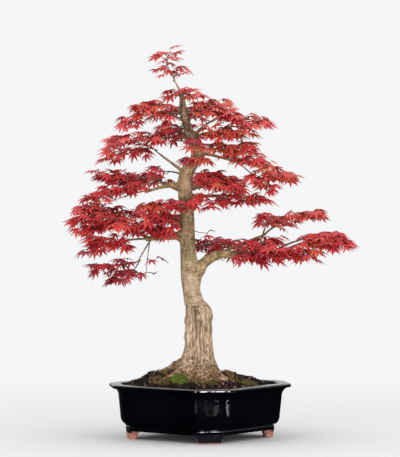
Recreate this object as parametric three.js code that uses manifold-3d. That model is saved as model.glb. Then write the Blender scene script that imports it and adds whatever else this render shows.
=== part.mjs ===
// A red-leaved maple bonsai in a square glazed pot with cut corners.
// Millimetres, +Z up; the front view looks along +Y, with +X to the right.
import * as THREE from "three";
import { mergeVertices } from "three/addons/utils/BufferGeometryUtils.js";
import Module from "manifold-3d";

const wasm = await Module();
wasm.setup();

// Clearances
const GAP = 0.3; // between pieces that meet
const LEAF_CLEARANCE = 0.5; // least distance from a leaf or twig to another piece
const LEAST_EDGE = 0.03; // smaller steps left by cuts and joins are smoothed away

// Pot
const POT_TURN = THREE.MathUtils.degToRad(52.7); // one cut corner faces the front, a little to the right
const POT_SIDE = 262; // across the flats of the lip
const POT_CUT = 152; // from the axis to a cut corner's face, at the lip
const POT_EDGE = 5; // bevel of the upright edges
const POT_HEIGHT = 93;
const LIP_WIDTH = 19;
const LIP_DEPTH = 6.5;
const LIP_OVERHANG = 15;
const LIP_ROUND = 2;
const WALL_BATTER = 3; // how far the wall leans in from the cove to the belly
const COVE_DEPTH = 16;
const BELLY_DEPTH = 17;
const BELLY_INSET = 9;
const PLINTH_DEPTH = 8;
const PLINTH_STEP = 1.5;
const UNDERSIDE_BEVEL = 4.5;
const OVAL_STEPS = 4; // flats in each curved stretch of the profile
const FOOT_HEIGHT = 14;
const FOOT_SINK = 3; // how far a foot runs up into the underside
const FOOT_TOP = [50, 20]; // across and along its radius
const FOOT_BOTTOM = [38, 14];
const FOOT_INSET = 37; // from the lip's edge to the middle of a foot's top
const FOOT_SLIP = 2; // how far out a foot's bottom stands from the middle of its top
const FLOOR_THICKNESS = 11;
const INNER_BATTER = 9;

// Soil, a mound that slopes down to the wall: its rise in front of the trunk and how much more it rises at
// the sides and the back
const SOIL_EDGE = 86; // height where the soil meets the wall
const SOIL_SEAT = 96; // height of the seat under the trunk
const SOIL_RISE = 12;
const SOIL_RISE_RIGHT = 12;
const SOIL_RISE_LEFT = 18;
const SOIL_RISE_BACK = 6;
const SOIL_SHOULDER = 0.4; // share of the way to the wall where the slope starts
const SOIL_SLOPE = 1.2; // power of the way to the wall by which the slope falls
const SOIL_SLOPE_TURN = 0.2; // how much less that power is at the right and more at the left
const SOIL_RINGS = [1, 0.85, 0.7, 0.55, 0.4]; // shares of the way to the wall
const SOIL_FLAT_STEPS = [1, 3]; // pieces of a cut corner's flat and of a side's flat in each ring
const SOIL_CLEARANCE = 1.2; // between the trunk's flare and the soil round it

// Moss cushions that swell the soil: right and back of the pot's axis, radius and height
const MOSSES = [
  [-34, -58, 17, 15],
  [-58, -44, 18, 9],
  [84, -34, 17, 5],
  [14, -68, 14, 4],
  [-82, 30, 24, 5],
  [40, 70, 24, 6],
];
const MOSS_SWELL = 0.6; // share of a cushion's radius and height that its swell takes

// Trunk, measured from its foot on the soil. The stock is rough and wide up to the graft;
// above it the trunk is narrower and kinks to the right before it ends in a blunt cut.
const TRUNK_SIDES = 24;
const TRUNK_RINGS = 21;
const TRUNK_CROWDING = 1.25; // over 1 sets the rings closer together near the ground
const TRUNK = [
  { up: 0, right: -2, back: 0, radius: 24 },
  { up: 62, right: -2, back: 0, radius: 23 },
  { up: 121, right: -3, back: 1, radius: 23.5 },
  { up: 142, right: -12, back: 2, radius: 16.6 },
  { up: 190, right: -19, back: 3, radius: 14.5 },
  { up: 280, right: -22, back: 2, radius: 12.2 },
  { up: 345, right: -25, back: -4, radius: 13 },
  { up: 388, right: -4, back: -6, radius: 12 },
  { up: 446, right: -26, back: 2, radius: 8.6 },
  { up: 486, right: -30, back: 6, radius: 6 },
];
const ROOT_FLARE = 38; // extra radius at the ground
const ROOT_FLARE_HEIGHT = 20; // height over which it falls to about a third
const ROOT_COUNT = 6;
const ROOT_TURN = 2.6; // turns the ring of roots, in radians of a root's own round
const ROOT_RIDGE = 0.28; // share of the flare that the roots stand out and the dips fall in
const ROOT_LEFT = 0.75; // share by which the flare is wider at the left

// Boughs: the limb that carries each and where it leaves it (height on the trunk, share of a bough),
// its tip (right, back, up from the trunk's foot), how far it arches up, and its radii.
const BOUGH_SIDES = 6;
const BOUGH_RINGS = 5;
const BEND = 0.32; // share of a limb's run at which its arch is pulled up
const BOUGHS = [
  { name: "right_low", on: "trunk", at: 158, tip: [66, -8, 217], arch: 42, radii: [11, 5.8] },
  { name: "right_low_outer", on: "right_low", at: 0.84, tip: [150, 6, 223], arch: -2, radii: [4.6, 2.4] },
  { name: "right_low_rise", on: "right_low", at: 0.68, tip: [112, 20, 249], arch: 4, radii: [3.4, 1.8] },
  { name: "left_low", on: "trunk", at: 246, tip: [-92, -12, 242], arch: 4, radii: [8, 3.6] },
  { name: "left_low_outer", on: "left_low", at: 0.9, tip: [-138, 6, 262], arch: 3, radii: [3.2, 2] },
  { name: "left_drop", on: "left_low", at: 0.84, tip: [-104, -34, 206], arch: 4, radii: [2.2, 1.4] },
  { name: "left_mid", on: "trunk", at: 331, tip: [-92, 8, 322], arch: 10, radii: [5.2, 2.2] },
  { name: "left_upper", on: "trunk", at: 352, tip: [-76, -8, 392], arch: 4, radii: [4.2, 1.9] },
  { name: "left_top", on: "trunk", at: 440, tip: [-60, -6, 457], arch: 3, radii: [3.2, 1.7] },
  { name: "right_upper", on: "trunk", at: 388, tip: [68, -10, 370], arch: 5, radii: [4.4, 2] },
  { name: "right_top", on: "trunk", at: 414, tip: [26, -4, 445], arch: 10, radii: [3.8, 1.8] },
  { name: "right_mid", on: "trunk", at: 312, tip: [20, 12, 314], arch: 4, radii: [4, 2] },
  { name: "back_low", on: "trunk", at: 262, tip: [-44, 62, 272], arch: 6, radii: [5.6, 2.6] },
  { name: "back_right_low", on: "trunk", at: 214, tip: [-14, 60, 222], arch: 6, radii: [4.8, 2.4] },
  { name: "back_mid", on: "trunk", at: 322, tip: [6, 56, 330], arch: 5, radii: [4.8, 2.2] },
  { name: "back_left_mid", on: "trunk", at: 318, tip: [-66, 56, 336], arch: 5, radii: [4.4, 2.2] },
  { name: "back_upper", on: "trunk", at: 404, tip: [-34, 52, 424], arch: 4, radii: [4, 2] },
];

// Masses of leaves: the limb that carries each (a bough at its tip, the trunk at a height), the point that
// its furthest leaf reaches, its width and thickness, how far its stem arches up, its red, and the share of
// its stem that is bare.
const MASSES = [
  { name: "apex", on: "trunk", at: 486, far: [-66, 6, 604], size: [96, 96], arch: 0, tint: 4, bare: 0.5 },
  { name: "crown_top", on: "trunk", at: 476, far: [22, -44, 496], size: [86, 56], arch: 10, tint: 3 },
  { name: "crown_left", on: "trunk", at: 480, far: [-78, -30, 500], size: [70, 50], arch: 8, tint: 4 },
  { name: "left_top", on: "trunk", at: 458, far: [-126, -26, 484], size: [84, 50], arch: 10, tint: 0 },
  { name: "left_top_low", on: "left_top", far: [-160, -8, 434], size: [100, 50], arch: 6, tint: 0 },
  { name: "right_top", on: "trunk", at: 456, far: [66, 24, 476], size: [86, 48], arch: 10, tint: 3 },
  { name: "right_top_low", on: "right_top", far: [146, -2, 438], size: [112, 52], arch: 14, tint: 3 },
  { name: "left_upper", on: "left_upper", far: [-180, -4, 398], size: [112, 56], arch: 22, tint: 1 },
  { name: "left_inner", on: "trunk", at: 408, far: [-104, -44, 426], size: [84, 48], arch: 10, tint: 1 },
  { name: "right_inner", on: "trunk", at: 408, far: [112, -28, 408], size: [104, 64], arch: 14, tint: 3 },
  { name: "right_upper_outer", on: "right_upper", far: [182, -8, 342], size: [112, 70], arch: 18, tint: 3 },
  { name: "left_mid", on: "left_mid", far: [-210, 10, 340], size: [122, 58], arch: 18, tint: 1 },
  { name: "right_mid", on: "right_mid", far: [118, 0, 314], size: [112, 72], arch: 12, tint: 0 },
  { name: "right_mid_inner", on: "trunk", at: 326, far: [58, -60, 338], size: [84, 50], arch: 10, tint: 0 },
  { name: "left_low_inner", on: "trunk", at: 268, far: [-164, -66, 274], size: [112, 70], arch: 20, tint: 1 },
  { name: "left_low_upper", on: "trunk", at: 292, far: [-112, -30, 312], size: [92, 48], arch: 12, tint: 0 },
  { name: "left_low_outer", on: "left_low_outer", far: [-236, 8, 292], size: [132, 84], arch: 22, tint: 1 },
  { name: "left_low_under", on: "left_low", far: [-208, -34, 222], size: [96, 54], arch: 8, tint: 2 },
  { name: "left_hanging", on: "left_drop", far: [-186, -52, 164], size: [96, 56], arch: 4, tint: 2 },
  { name: "right_low_near", on: "right_low", far: [168, -70, 214], size: [104, 52], arch: 12, tint: 2 },
  { name: "right_low_rise", on: "right_low_rise", far: [234, 32, 290], size: [116, 54], arch: 14, tint: 0 },
  { name: "right_low_tip", on: "right_low_outer", far: [281, -4, 238], size: [112, 60], arch: 12, tint: 0 },
  { name: "right_low_back", on: "back_right_low", far: [98, 148, 230], size: [112, 52], arch: 12, tint: 2 },
  { name: "front_upper", on: "trunk", at: 412, far: [10, -96, 424], size: [84, 50], arch: 10, tint: 1 },
  { name: "front_mid", on: "trunk", at: 368, far: [12, -90, 380], size: [80, 50], arch: 10, tint: 1 },
  { name: "front_low", on: "trunk", at: 306, far: [-28, -92, 312], size: [80, 48], arch: 10, tint: 1 },
  { name: "back_low", on: "back_low", far: [-76, 176, 290], size: [134, 58], arch: 14, tint: 2 },
  { name: "back_mid", on: "back_mid", far: [54, 160, 342], size: [126, 54], arch: 14, tint: 1 },
  { name: "back_left_mid", on: "back_left_mid", far: [-138, 150, 350], size: [118, 54], arch: 14, tint: 1 },
  { name: "back_upper", on: "back_upper", far: [-44, 148, 436], size: [122, 50], arch: 12, tint: 1 },
  { name: "back_top", on: "trunk", at: 450, far: [-24, 108, 474], size: [92, 48], arch: 10, tint: 0 },
];

// Leaves, larger than life, as each stands for a spray. Each lobe has its angle from the middle lobe and its
// share of that lobe's length.
const LEAF_LENGTH = 38;
const LEAF_THICKNESS = 1.8;
const LEAF_CURL = 9; // how far the tip of the middle lobe hangs below the leaf's plane
const LEAF_NOTCH = 0.46; // depth left between lobes, as a share of the lobe
const LEAF_DROOP = [10, 52]; // least and most, in degrees below the level
const LEAF_ROLL = 30; // most, in degrees
const LEAF_SIZES = [0.85, 1.1]; // least and most, as a share of the length
const LEAF_LEVELLING = 0.3; // share of its stem's slope that a leaf keeps
const LEAF_HEEL = 150; // degrees from the middle lobe to where the blade's rim meets the twig
const LOBES = [
  [-104, 0.62],
  [-50, 0.9],
  [0, 1],
  [50, 0.9],
  [104, 0.62],
];

// Twigs: one to each leaf, in opposite pairs along the stem, with a fan of them at its end
const NODE_SPACING = 12;
const TWIG_WIDTH = 2;
const TWIG_SINK = 1; // how far a twig's root lies past the stem's line
const TWIG_LEAST = 12;
const TWIG_SPREAD = 4; // least difference between the longest twig and the shortest
const TWIG_ROOM = 23; // left for the leaf between the longest twig's end and the side of its mass
const TWIG_ANGLE = [38, 88]; // least and most from the stem's heading, in degrees
const TWIG_RISE = [-16, 42]; // least and most from the pad's plane, in degrees
const STEM_END_FAN = [-52, 0, 52]; // headings of the twigs at the stem's end, in degrees
const STEM_END_SHARE = 0.98; // where on the stem they root
const SWING_AT_END = 0.2; // most that a try turns a twig, in radians
const SWING_ON_SIDES = 0.4;
const STEM_RADII = [2.4, 1.2]; // on the trunk, and at the tip
const STEM_SIDES = 5;
const STEM_RINGS = 4;
const STEM_END_ROOM = 46; // left for the last leaf between the stem's end and the mass's furthest point
const STEM_END_MOST = 0.6; // most of the mass's length that this room takes
const FIRST_NODE = 0.6; // where in its spacing the first pair of twigs sits
const ATTEMPTS = 12; // seeded tries for each leaf before it is skipped
const SPACE_LIMIT = 1.4; // a mass keeps to the rounded box u^4 + v^4 + w^4 = this

// Finishes: colour and roughness
const REDS = [0xc62b30, 0xb4222b, 0x8f1a26, 0xc2452f, 0xd0474c].map((red) => finish(red, 0.6));
const BARK = finish(0xa98e70, 0.9);
const BARK_YOUNG = finish(0x7d6a50, 0.9);
const GLAZE = finish(0x0d1016, 0.12);
const EARTH = finish(0x3b2c22, 0.95);

const rad = THREE.MathUtils.degToRad;
const UP = new THREE.Vector3(0, 0, 1);

// A value from 0 to 1 that looks random and is always the same for the same two numbers.
function chance(seed, step) {
  const wave = Math.sin(seed * 127.1 + step * 311.7) * 43758.5453;
  return wave - Math.floor(wave);
}

// Closed surface through rings of equal point count, with a flat fan at each end.
function loft(rings) {
  const sides = rings[0].length;
  const last = (rings.length - 1) * sides;
  const faces = [];
  for (let ring = 0; ring + 1 < rings.length; ring++) {
    for (let side = 0; side < sides; side++) {
      const a = ring * sides + side;
      const b = ring * sides + ((side + 1) % sides);
      faces.push(a, b, b + sides, a, b + sides, a + sides);
    }
  }
  for (let side = 1; side + 1 < sides; side++) {
    faces.push(0, side + 1, side, last, last + side, last + side + 1);
  }
  const surface = new THREE.BufferGeometry().setFromPoints(rings.flat());
  surface.setIndex(faces);
  return surface;
}

function solidOf(surface) {
  const merged = mergeVertices(surface);
  return new wasm.Manifold(
    new wasm.Mesh({
      numProp: 3,
      vertProperties: new Float32Array(merged.attributes.position.array),
      triVerts: new Uint32Array(merged.index.array),
    }),
  );
}

// The largest body of a solid, so that loose scraps go and sealed hollows are filled.
function largestBody(solid) {
  const bodies = solid.simplify(LEAST_EDGE).decompose();
  return bodies.reduce((best, body) => (body.volume() > best.volume() ? body : best));
}

function meshOf(solid, name, material) {
  const { vertProperties, triVerts } = solid.getMesh();
  const surface = new THREE.BufferGeometry();
  surface.setAttribute("position", new THREE.BufferAttribute(vertProperties, 3));
  surface.setIndex(new THREE.BufferAttribute(triVerts, 1));
  surface.computeVertexNormals();
  const mesh = new THREE.Mesh(surface, material);
  mesh.name = name;
  return mesh;
}

function finish(color, roughness) {
  return new THREE.MeshStandardMaterial({ color, roughness, metalness: 0 });
}

// A limb's surface along a curve, round in section, its radius falling evenly from end to end.
function limbSurface(curve, radii, sides, steps, grow = 0) {
  const frames = curve.computeFrenetFrames(steps, false);
  const rings = [];
  for (let step = 0; step <= steps; step++) {
    const centre = curve.getPointAt(step / steps);
    const radius = THREE.MathUtils.lerp(radii[0], radii[1], step / steps) + grow;
    const ring = [];
    for (let side = 0; side < sides; side++) {
      const angle = (side / sides) * 2 * Math.PI;
      const point = centre.clone();
      point.addScaledVector(frames.normals[step], radius * Math.cos(angle));
      point.addScaledVector(frames.binormals[step], radius * Math.sin(angle));
      ring.push(point);
    }
    rings.push(ring);
  }
  return loft(rings);
}

function archedCurve(start, end, arch) {
  const middle = start.clone().lerp(end, BEND).addScaledVector(UP, arch);
  return new THREE.QuadraticBezierCurve3(start, middle, end);
}

// Pot: one ring of its plan, a square with cut corners, moved in from the lip's edge.
function potRing(inset, height) {
  const half = POT_SIDE / 2 - inset;
  const flat = Math.SQRT2 * (POT_CUT - inset) - half;
  const slant = POT_EDGE * Math.SQRT1_2;
  const corner = [
    [half, flat - POT_EDGE],
    [half - slant, flat + slant],
    [flat + slant, half - slant],
    [flat - POT_EDGE, half],
  ];
  const ring = [];
  for (let quarter = 0; quarter < 4; quarter++) {
    const turn = (quarter * Math.PI) / 2;
    for (const [x, y] of corner) {
      ring.push(new THREE.Vector3(x, y, height).applyAxisAngle(UP, turn));
    }
  }
  return ring;
}

// Points of a quarter of an oval from one profile point to another. It leaves the first point upright
// if uprightFirst is true, and level if it is false.
function quarterOval([insetA, heightA], [insetB, heightB], uprightFirst, steps) {
  const points = [];
  for (let step = 0; step <= steps; step++) {
    const angle = (step / steps) * (Math.PI / 2);
    const early = 1 - Math.cos(angle);
    const late = Math.sin(angle);
    const [across, along] = uprightFirst ? [early, late] : [late, early];
    points.push([insetA + (insetB - insetA) * across, heightA + (heightB - heightA) * along]);
  }
  return points;
}

// Pot: profile from the underside up the outside, over the lip and down to the floor inside.
function potProfile() {
  const plinthTop = FOOT_HEIGHT + PLINTH_DEPTH;
  const lipUnder = POT_HEIGHT - LIP_DEPTH;
  const coveFoot = lipUnder - COVE_DEPTH;
  const wallTop = LIP_OVERHANG;
  const wallFoot = wallTop + WALL_BATTER;
  const bellyFoot = wallFoot + BELLY_INSET;
  const bellyStart = [bellyFoot, plinthTop + PLINTH_STEP];
  const bellyEnd = [wallFoot, plinthTop + BELLY_DEPTH];
  return [
    [bellyFoot + UNDERSIDE_BEVEL, FOOT_HEIGHT],
    [bellyFoot, FOOT_HEIGHT + PLINTH_STEP],
    [bellyFoot, plinthTop - PLINTH_STEP],
    [bellyFoot + PLINTH_STEP, plinthTop],
    ...quarterOval(bellyStart, bellyEnd, false, OVAL_STEPS),
    ...quarterOval([wallTop, coveFoot], [LIP_ROUND, lipUnder], true, OVAL_STEPS),
    [0, lipUnder + LIP_ROUND],
    [0, POT_HEIGHT - LIP_ROUND],
    [LIP_ROUND, POT_HEIGHT],
    [LIP_WIDTH - LIP_ROUND, POT_HEIGHT],
    [LIP_WIDTH, POT_HEIGHT - LIP_ROUND],
    [LIP_WIDTH + INNER_BATTER, FOOT_HEIGHT + FLOOR_THICKNESS],
  ];
}

function rectangle([across, along], middle, height) {
  const corners = [
    [1, -1],
    [1, 1],
    [-1, 1],
    [-1, -1],
  ];
  return corners.map(([u, v]) => new THREE.Vector3(middle + (u * along) / 2, (v * across) / 2, height));
}

// Pot: a foot under the cut corner at 45 degrees to the pot's sides, narrowing downwards.
function potFoot(quarter) {
  const middle = POT_CUT - FOOT_INSET;
  const foot = loft([
    rectangle(FOOT_BOTTOM, middle + FOOT_SLIP, 0),
    rectangle(FOOT_TOP, middle, FOOT_HEIGHT),
    rectangle(FOOT_TOP, middle, FOOT_HEIGHT + FOOT_SINK),
  ]);
  foot.rotateZ(((quarter + 0.5) * Math.PI) / 2);
  return solidOf(foot);
}

function potSolid() {
  const feet = [0, 1, 2, 3].map(potFoot);
  const bowl = solidOf(loft(potProfile().map(([inset, height]) => potRing(inset, height))));
  return largestBody(wasm.Manifold.union([bowl, ...feet]));
}

// Trunk: smooth line and radius through the stations, read at a height.
const trunkLine = new THREE.CatmullRomCurve3(
  TRUNK.map(({ up, right, back }) => new THREE.Vector3(right, back, up)),
  false,
  "catmullrom",
  0.5,
);
const trunkGirth = new THREE.CatmullRomCurve3(
  TRUNK.map(({ radius }) => new THREE.Vector3(radius, 0, 0)),
  false,
  "catmullrom",
  0.5,
);
const TRUNK_HEIGHT = TRUNK.at(-1).up;

function trunkAt(height) {
  let low = 0;
  let high = 1;
  for (let halving = 0; halving < 30; halving++) {
    const middle = (low + high) / 2;
    if (trunkLine.getPoint(middle).z < height) {
      low = middle;
    } else {
      high = middle;
    }
  }
  return { centre: trunkLine.getPoint(low), radius: trunkGirth.getPoint(low).x };
}

// Trunk: the flare at an angle, as a share of its mean, with the roots' ridges.
function flareShare(angle) {
  const left = Math.max(0, -Math.cos(angle)) ** 3;
  return 1 + ROOT_RIDGE * Math.cos(ROOT_COUNT * angle + ROOT_TURN) + ROOT_LEFT * left;
}

// Trunk: level rings, closer together near the ground. The surface can be grown outwards and run on
// below the foot, as a seat for the trunk needs.
function trunkSurface(grow = 0, below = 0) {
  const rings = [];
  for (let step = 0; step <= TRUNK_RINGS; step++) {
    const share = step / TRUNK_RINGS;
    const height = TRUNK_HEIGHT * Math.pow(share, TRUNK_CROWDING);
    const { centre, radius } = trunkAt(height);
    const flare = ROOT_FLARE * Math.exp(-height / ROOT_FLARE_HEIGHT);
    const ring = [];
    for (let side = 0; side < TRUNK_SIDES; side++) {
      const angle = (side / TRUNK_SIDES) * 2 * Math.PI;
      const reach = radius + flare * flareShare(angle) + grow;
      const x = centre.x + reach * Math.cos(angle);
      const y = centre.y + reach * Math.sin(angle);
      ring.push(new THREE.Vector3(x, y, step === 0 ? -below : height));
    }
    rings.push(ring);
  }
  return loft(rings);
}

// Soil: height of the mound, from the share of the way to the wall and the point's place.
function groundHeight(share, { x, y }) {
  const angle = Math.atan2(y, x);
  const right = Math.max(0, Math.cos(angle)) ** 2;
  const left = Math.max(0, -Math.cos(angle)) ** 2;
  const back = Math.max(0, Math.sin(angle)) ** 2;
  const way = Math.max(0, (share - SOIL_SHOULDER) / (1 - SOIL_SHOULDER));
  const climb = 1 - way ** (SOIL_SLOPE - SOIL_SLOPE_TURN * Math.cos(angle));
  const rise = SOIL_RISE + SOIL_RISE_RIGHT * right + SOIL_RISE_LEFT * left + SOIL_RISE_BACK * back;
  let swell = 0;
  for (const [mossX, mossY, radius, height] of MOSSES) {
    const spread = ((x - mossX) ** 2 + (y - mossY) ** 2) / (MOSS_SWELL * radius) ** 2;
    swell += MOSS_SWELL * height * Math.exp(-spread);
  }
  return SOIL_EDGE + rise * climb + swell;
}

// Soil: one ring along the inner wall, turned with the pot, its flats cut into shorter steps.
function soilRing(inset, height) {
  const corners = potRing(inset, height);
  const ring = [];
  corners.forEach((corner, index) => {
    const steps = index % 2 === 0 ? 1 : SOIL_FLAT_STEPS[index % 4 === 1 ? 0 : 1];
    for (let step = 0; step < steps; step++) {
      const point = corner.clone().lerp(corners[(index + 1) % corners.length], step / steps);
      ring.push(point.applyAxisAngle(UP, POT_TURN));
    }
  });
  return ring;
}

// Soil: fills the pot clear of its wall and mounds up round the trunk's foot, for which it leaves a seat.
function soilSolid() {
  const floor = FOOT_HEIGHT + FLOOR_THICKNESS + GAP;
  const innerInset = (height) => {
    const drop = (POT_HEIGHT - LIP_ROUND - height) / (POT_HEIGHT - LIP_ROUND - floor);
    return LIP_WIDTH + INNER_BATTER * drop + 2 * GAP;
  };
  const rim = soilRing(innerInset(SOIL_EDGE), SOIL_EDGE);
  const top = SOIL_RINGS.map((share) =>
    rim.map(({ x, y }) => {
      const point = new THREE.Vector3(share * x, share * y, SOIL_EDGE);
      point.z = share < 1 ? groundHeight(share, point) : SOIL_EDGE;
      return point;
    }),
  );
  const mound = solidOf(loft([soilRing(innerInset(floor), floor), ...top]));
  const seat = solidOf(trunkSurface(SOIL_CLEARANCE, GAP)).translate([0, 0, SOIL_SEAT + GAP]);
  return largestBody(mound.subtract(seat));
}

// Boughs: each starts inside the limb that carries it and is cut back clear of that limb.
const limbs = new Map();

function growTrunk() {
  limbs.set("trunk", { solid: solidOf(trunkSurface()), grown: solidOf(trunkSurface(GAP)) });
}

function growBough({ name, on, at, tip, arch, radii }) {
  const carrier = limbs.get(on);
  const start = on === "trunk" ? trunkAt(at).centre : carrier.curve.getPointAt(at);
  const curve = archedCurve(start, new THREE.Vector3(...tip), arch);
  const surface = (grow) => solidOf(limbSurface(curve, radii, BOUGH_SIDES, BOUGH_RINGS, grow));
  let solid = surface(0).subtract(carrier.grown);
  for (const other of limbs.values()) {
    if (other.carrier === carrier) {
      solid = solid.subtract(other.grown);
    }
  }
  limbs.set(name, { solid: largestBody(solid), grown: surface(GAP), curve, carrier, tipRadius: radii[1] });
}

// Leaf: a star of pointed lobes round a thick middle, joined to the stem by a three-sided twig.
// Its lobes lie in the plane of the axis and the way across it, and their tips hang down.
function leafSurface(root, middle, axis, normal, size) {
  const across = normal.clone().cross(axis);
  const bladePoint = (angle, reach, lift) => {
    const point = middle.clone().addScaledVector(axis, reach * Math.cos(rad(angle)));
    return point.addScaledVector(across, reach * Math.sin(rad(angle))).addScaledVector(normal, lift);
  };
  const rimPoint = (angle, reach) => bladePoint(angle, reach, -LEAF_CURL * Math.pow(reach / LEAF_LENGTH, 2));
  const rim = [rimPoint(-LEAF_HEEL, TWIG_WIDTH)];
  LOBES.forEach(([angle, share], lobe) => {
    rim.push(rimPoint(angle, size * share));
    if (lobe + 1 < LOBES.length) {
      const [nextAngle, nextShare] = LOBES[lobe + 1];
      rim.push(rimPoint((angle + nextAngle) / 2, size * LEAF_NOTCH * Math.min(share, nextShare)));
    }
  });
  rim.push(rimPoint(LEAF_HEEL, TWIG_WIDTH));

  const way = middle.clone().sub(root).normalize();
  const side = UP.clone().cross(way).normalize();
  const above = way.clone().cross(side);
  const half = TWIG_WIDTH / 2;
  const rootPoint = (u, v) => root.clone().addScaledVector(side, u * half).addScaledVector(above, v * half);
  const points = [
    ...rim,
    bladePoint(0, 0, LEAF_THICKNESS / 2),
    bladePoint(0, 0, -LEAF_THICKNESS / 2),
    rootPoint(-1, -1),
    rootPoint(1, -1),
    rootPoint(0, 1),
  ];
  const last = rim.length - 1;
  const [top, bottom, rootRight, rootLeft, rootTop] = [1, 2, 3, 4, 5].map((step) => last + step);
  const faces = [];
  for (let edge = 0; edge < last; edge++) {
    faces.push(edge, edge + 1, top, edge + 1, edge, bottom);
  }
  faces.push(last, rootTop, top, rootTop, 0, top);
  faces.push(last, rootLeft, rootTop, rootTop, rootRight, 0);
  faces.push(rootLeft, last, bottom, rootRight, rootLeft, bottom, 0, rootRight, bottom);
  faces.push(rootTop, rootLeft, rootRight);
  const surface = new THREE.BufferGeometry().setFromPoints(points);
  surface.setIndex(faces);
  return surface;
}

function boxesMeet(a, b) {
  const one = a.boundingBox();
  const two = b.boundingBox();
  return [0, 1, 2].every(
    (axis) =>
      one.min[axis] < two.max[axis] + LEAF_CLEARANCE && two.min[axis] < one.max[axis] + LEAF_CLEARANCE,
  );
}

function isClear(solid, others) {
  return others.every(
    (other) => !boxesMeet(solid, other) || solid.minGap(other, LEAF_CLEARANCE) >= LEAF_CLEARANCE,
  );
}

// The frame of a mass: its stem's start, the way it runs, the level way across it and the way up from it.
function massFrame({ on, at, far }) {
  const end = new THREE.Vector3(...far);
  const carrier = limbs.get(on);
  let start;
  if (on === "trunk" && at < TRUNK_HEIGHT) {
    const { centre, radius } = trunkAt(at);
    const away = end.clone().sub(centre).setZ(0).normalize();
    start = centre.addScaledVector(away, radius + GAP);
  } else if (on === "trunk") {
    start = trunkAt(TRUNK_HEIGHT).centre.addScaledVector(UP, GAP);
  } else {
    start = carrier.curve.getPointAt(1).addScaledVector(carrier.curve.getTangentAt(1), GAP);
  }
  const along = end.clone().sub(start).normalize();
  const across = UP.clone().cross(along).normalize();
  const above = along.clone().cross(across);
  return { start, end, along, across, above };
}

// True if every point of a surface lies in the rounded box that a mass keeps to.
function staysInside(surface, { start, end, along, across, above }, [width, thick]) {
  const centre = start.clone().lerp(end, 0.5);
  const half = start.distanceTo(end) / 2;
  const points = surface.attributes.position;
  const point = new THREE.Vector3();
  for (let index = 0; index < points.count; index++) {
    point.fromBufferAttribute(points, index).sub(centre);
    const u = point.dot(along) / half;
    const v = point.dot(across) / (width / 2);
    const w = point.dot(above) / (thick / 2);
    if (u ** 4 + v ** 4 + w ** 4 > SPACE_LIMIT) {
      return false;
    }
  }
  return true;
}

// One seeded try for a leaf and its twig, from a share of the stem, turned from the stem's heading.
function leafTry(frame, mass, stem, share, turn, seed, step) {
  const draw = (kind) => chance(seed + 0.37 * kind, step);
  const between = ([least, most], kind) => THREE.MathUtils.lerp(least, most, draw(kind));
  const heading = frame.along.clone().applyAxisAngle(frame.above, turn);
  const rise = rad(between(TWIG_RISE, 1));
  const way = heading.clone().multiplyScalar(Math.cos(rise)).addScaledVector(frame.above, Math.sin(rise));
  const most = Math.max(TWIG_LEAST + TWIG_SPREAD, mass.size[0] / 2 - TWIG_ROOM);
  const root = stem.getPointAt(share);
  const middle = root.clone().addScaledVector(way, between([TWIG_LEAST, most], 2));
  const level = heading.clone().setZ(LEAF_LEVELLING * heading.z).normalize();
  const droop = rad(between(LEAF_DROOP, 3));
  const axis = level.multiplyScalar(Math.cos(droop)).addScaledVector(UP, -Math.sin(droop)).normalize();
  const roll = rad(between([-LEAF_ROLL, LEAF_ROLL], 4));
  const across = UP.clone().cross(axis).normalize().applyAxisAngle(axis, roll);
  const normal = axis.clone().cross(across);
  const size = LEAF_LENGTH * between(LEAF_SIZES, 5);
  return leafSurface(root.addScaledVector(way, -TWIG_SINK), middle, axis, normal, size);
}

// A mass's stem, from its limb to where its last leaves begin, cut clear of every limb.
function growStem(mass) {
  const frame = massFrame(mass);
  const { start, end, along } = frame;
  const reach = Math.min(STEM_END_ROOM, STEM_END_MOST * start.distanceTo(end));
  const curve = archedCurve(start, end.clone().addScaledVector(along, -reach), mass.arch);
  const radii = [limbs.get(mass.on).tipRadius ?? STEM_RADII[0], STEM_RADII[1]];
  let solid = solidOf(limbSurface(curve, radii, STEM_SIDES, STEM_RINGS));
  for (const { grown } of limbs.values()) {
    solid = solid.subtract(grown);
  }
  return { frame, curve, solid: largestBody(solid) };
}

// The places for leaves on a stem: a fan at its end, then opposite pairs from its end to its start.
function leafPlaces(curve, seed, bare = 0) {
  const places = STEM_END_FAN.map((turn) => {
    return { share: STEM_END_SHARE, turn: rad(turn), most: SWING_AT_END };
  });
  const nodes = Math.max(2, Math.round(curve.getLength() / NODE_SPACING));
  for (let node = nodes - 1; node >= 0; node--) {
    const share = THREE.MathUtils.lerp(bare, 1, (node + FIRST_NODE) / nodes);
    for (const side of [-1, 1]) {
      const angle = THREE.MathUtils.lerp(...TWIG_ANGLE, chance(seed, node + 0.5 * side));
      places.push({ share, turn: side * rad(angle), most: SWING_ON_SIDES });
    }
  }
  return places;
}

// Mass: a stem with a leaf on a twig at each place. A leaf that would leave the mass's space or touch a limb,
// another mass or another leaf is tried again, then skipped.
function growMass(mass, seed, { frame, curve, solid }, others) {
  const places = leafPlaces(curve, seed, mass.bare);
  const leaves = [];
  places.forEach(({ share, turn, most }, place) => {
    for (let attempt = 0; attempt < ATTEMPTS; attempt++) {
      const step = place + attempt * places.length;
      const swing = most * (2 * chance(seed, step + 0.25) - 1);
      const surface = leafTry(frame, mass, curve, share, turn + swing, seed, step);
      const leaf = solidOf(surface);
      if (staysInside(surface, frame, mass.size) && isClear(leaf, others) && isClear(leaf, leaves)) {
        leaves.push(leaf);
        break;
      }
    }
  });
  return largestBody(wasm.Manifold.union([solid, ...leaves]));
}

// The plant: the pot turned a little, the soil in it and the tree standing in the soil.
const plant = new THREE.Group();
const pot = meshOf(potSolid(), "pot", GLAZE);
pot.rotation.z = POT_TURN;

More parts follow.
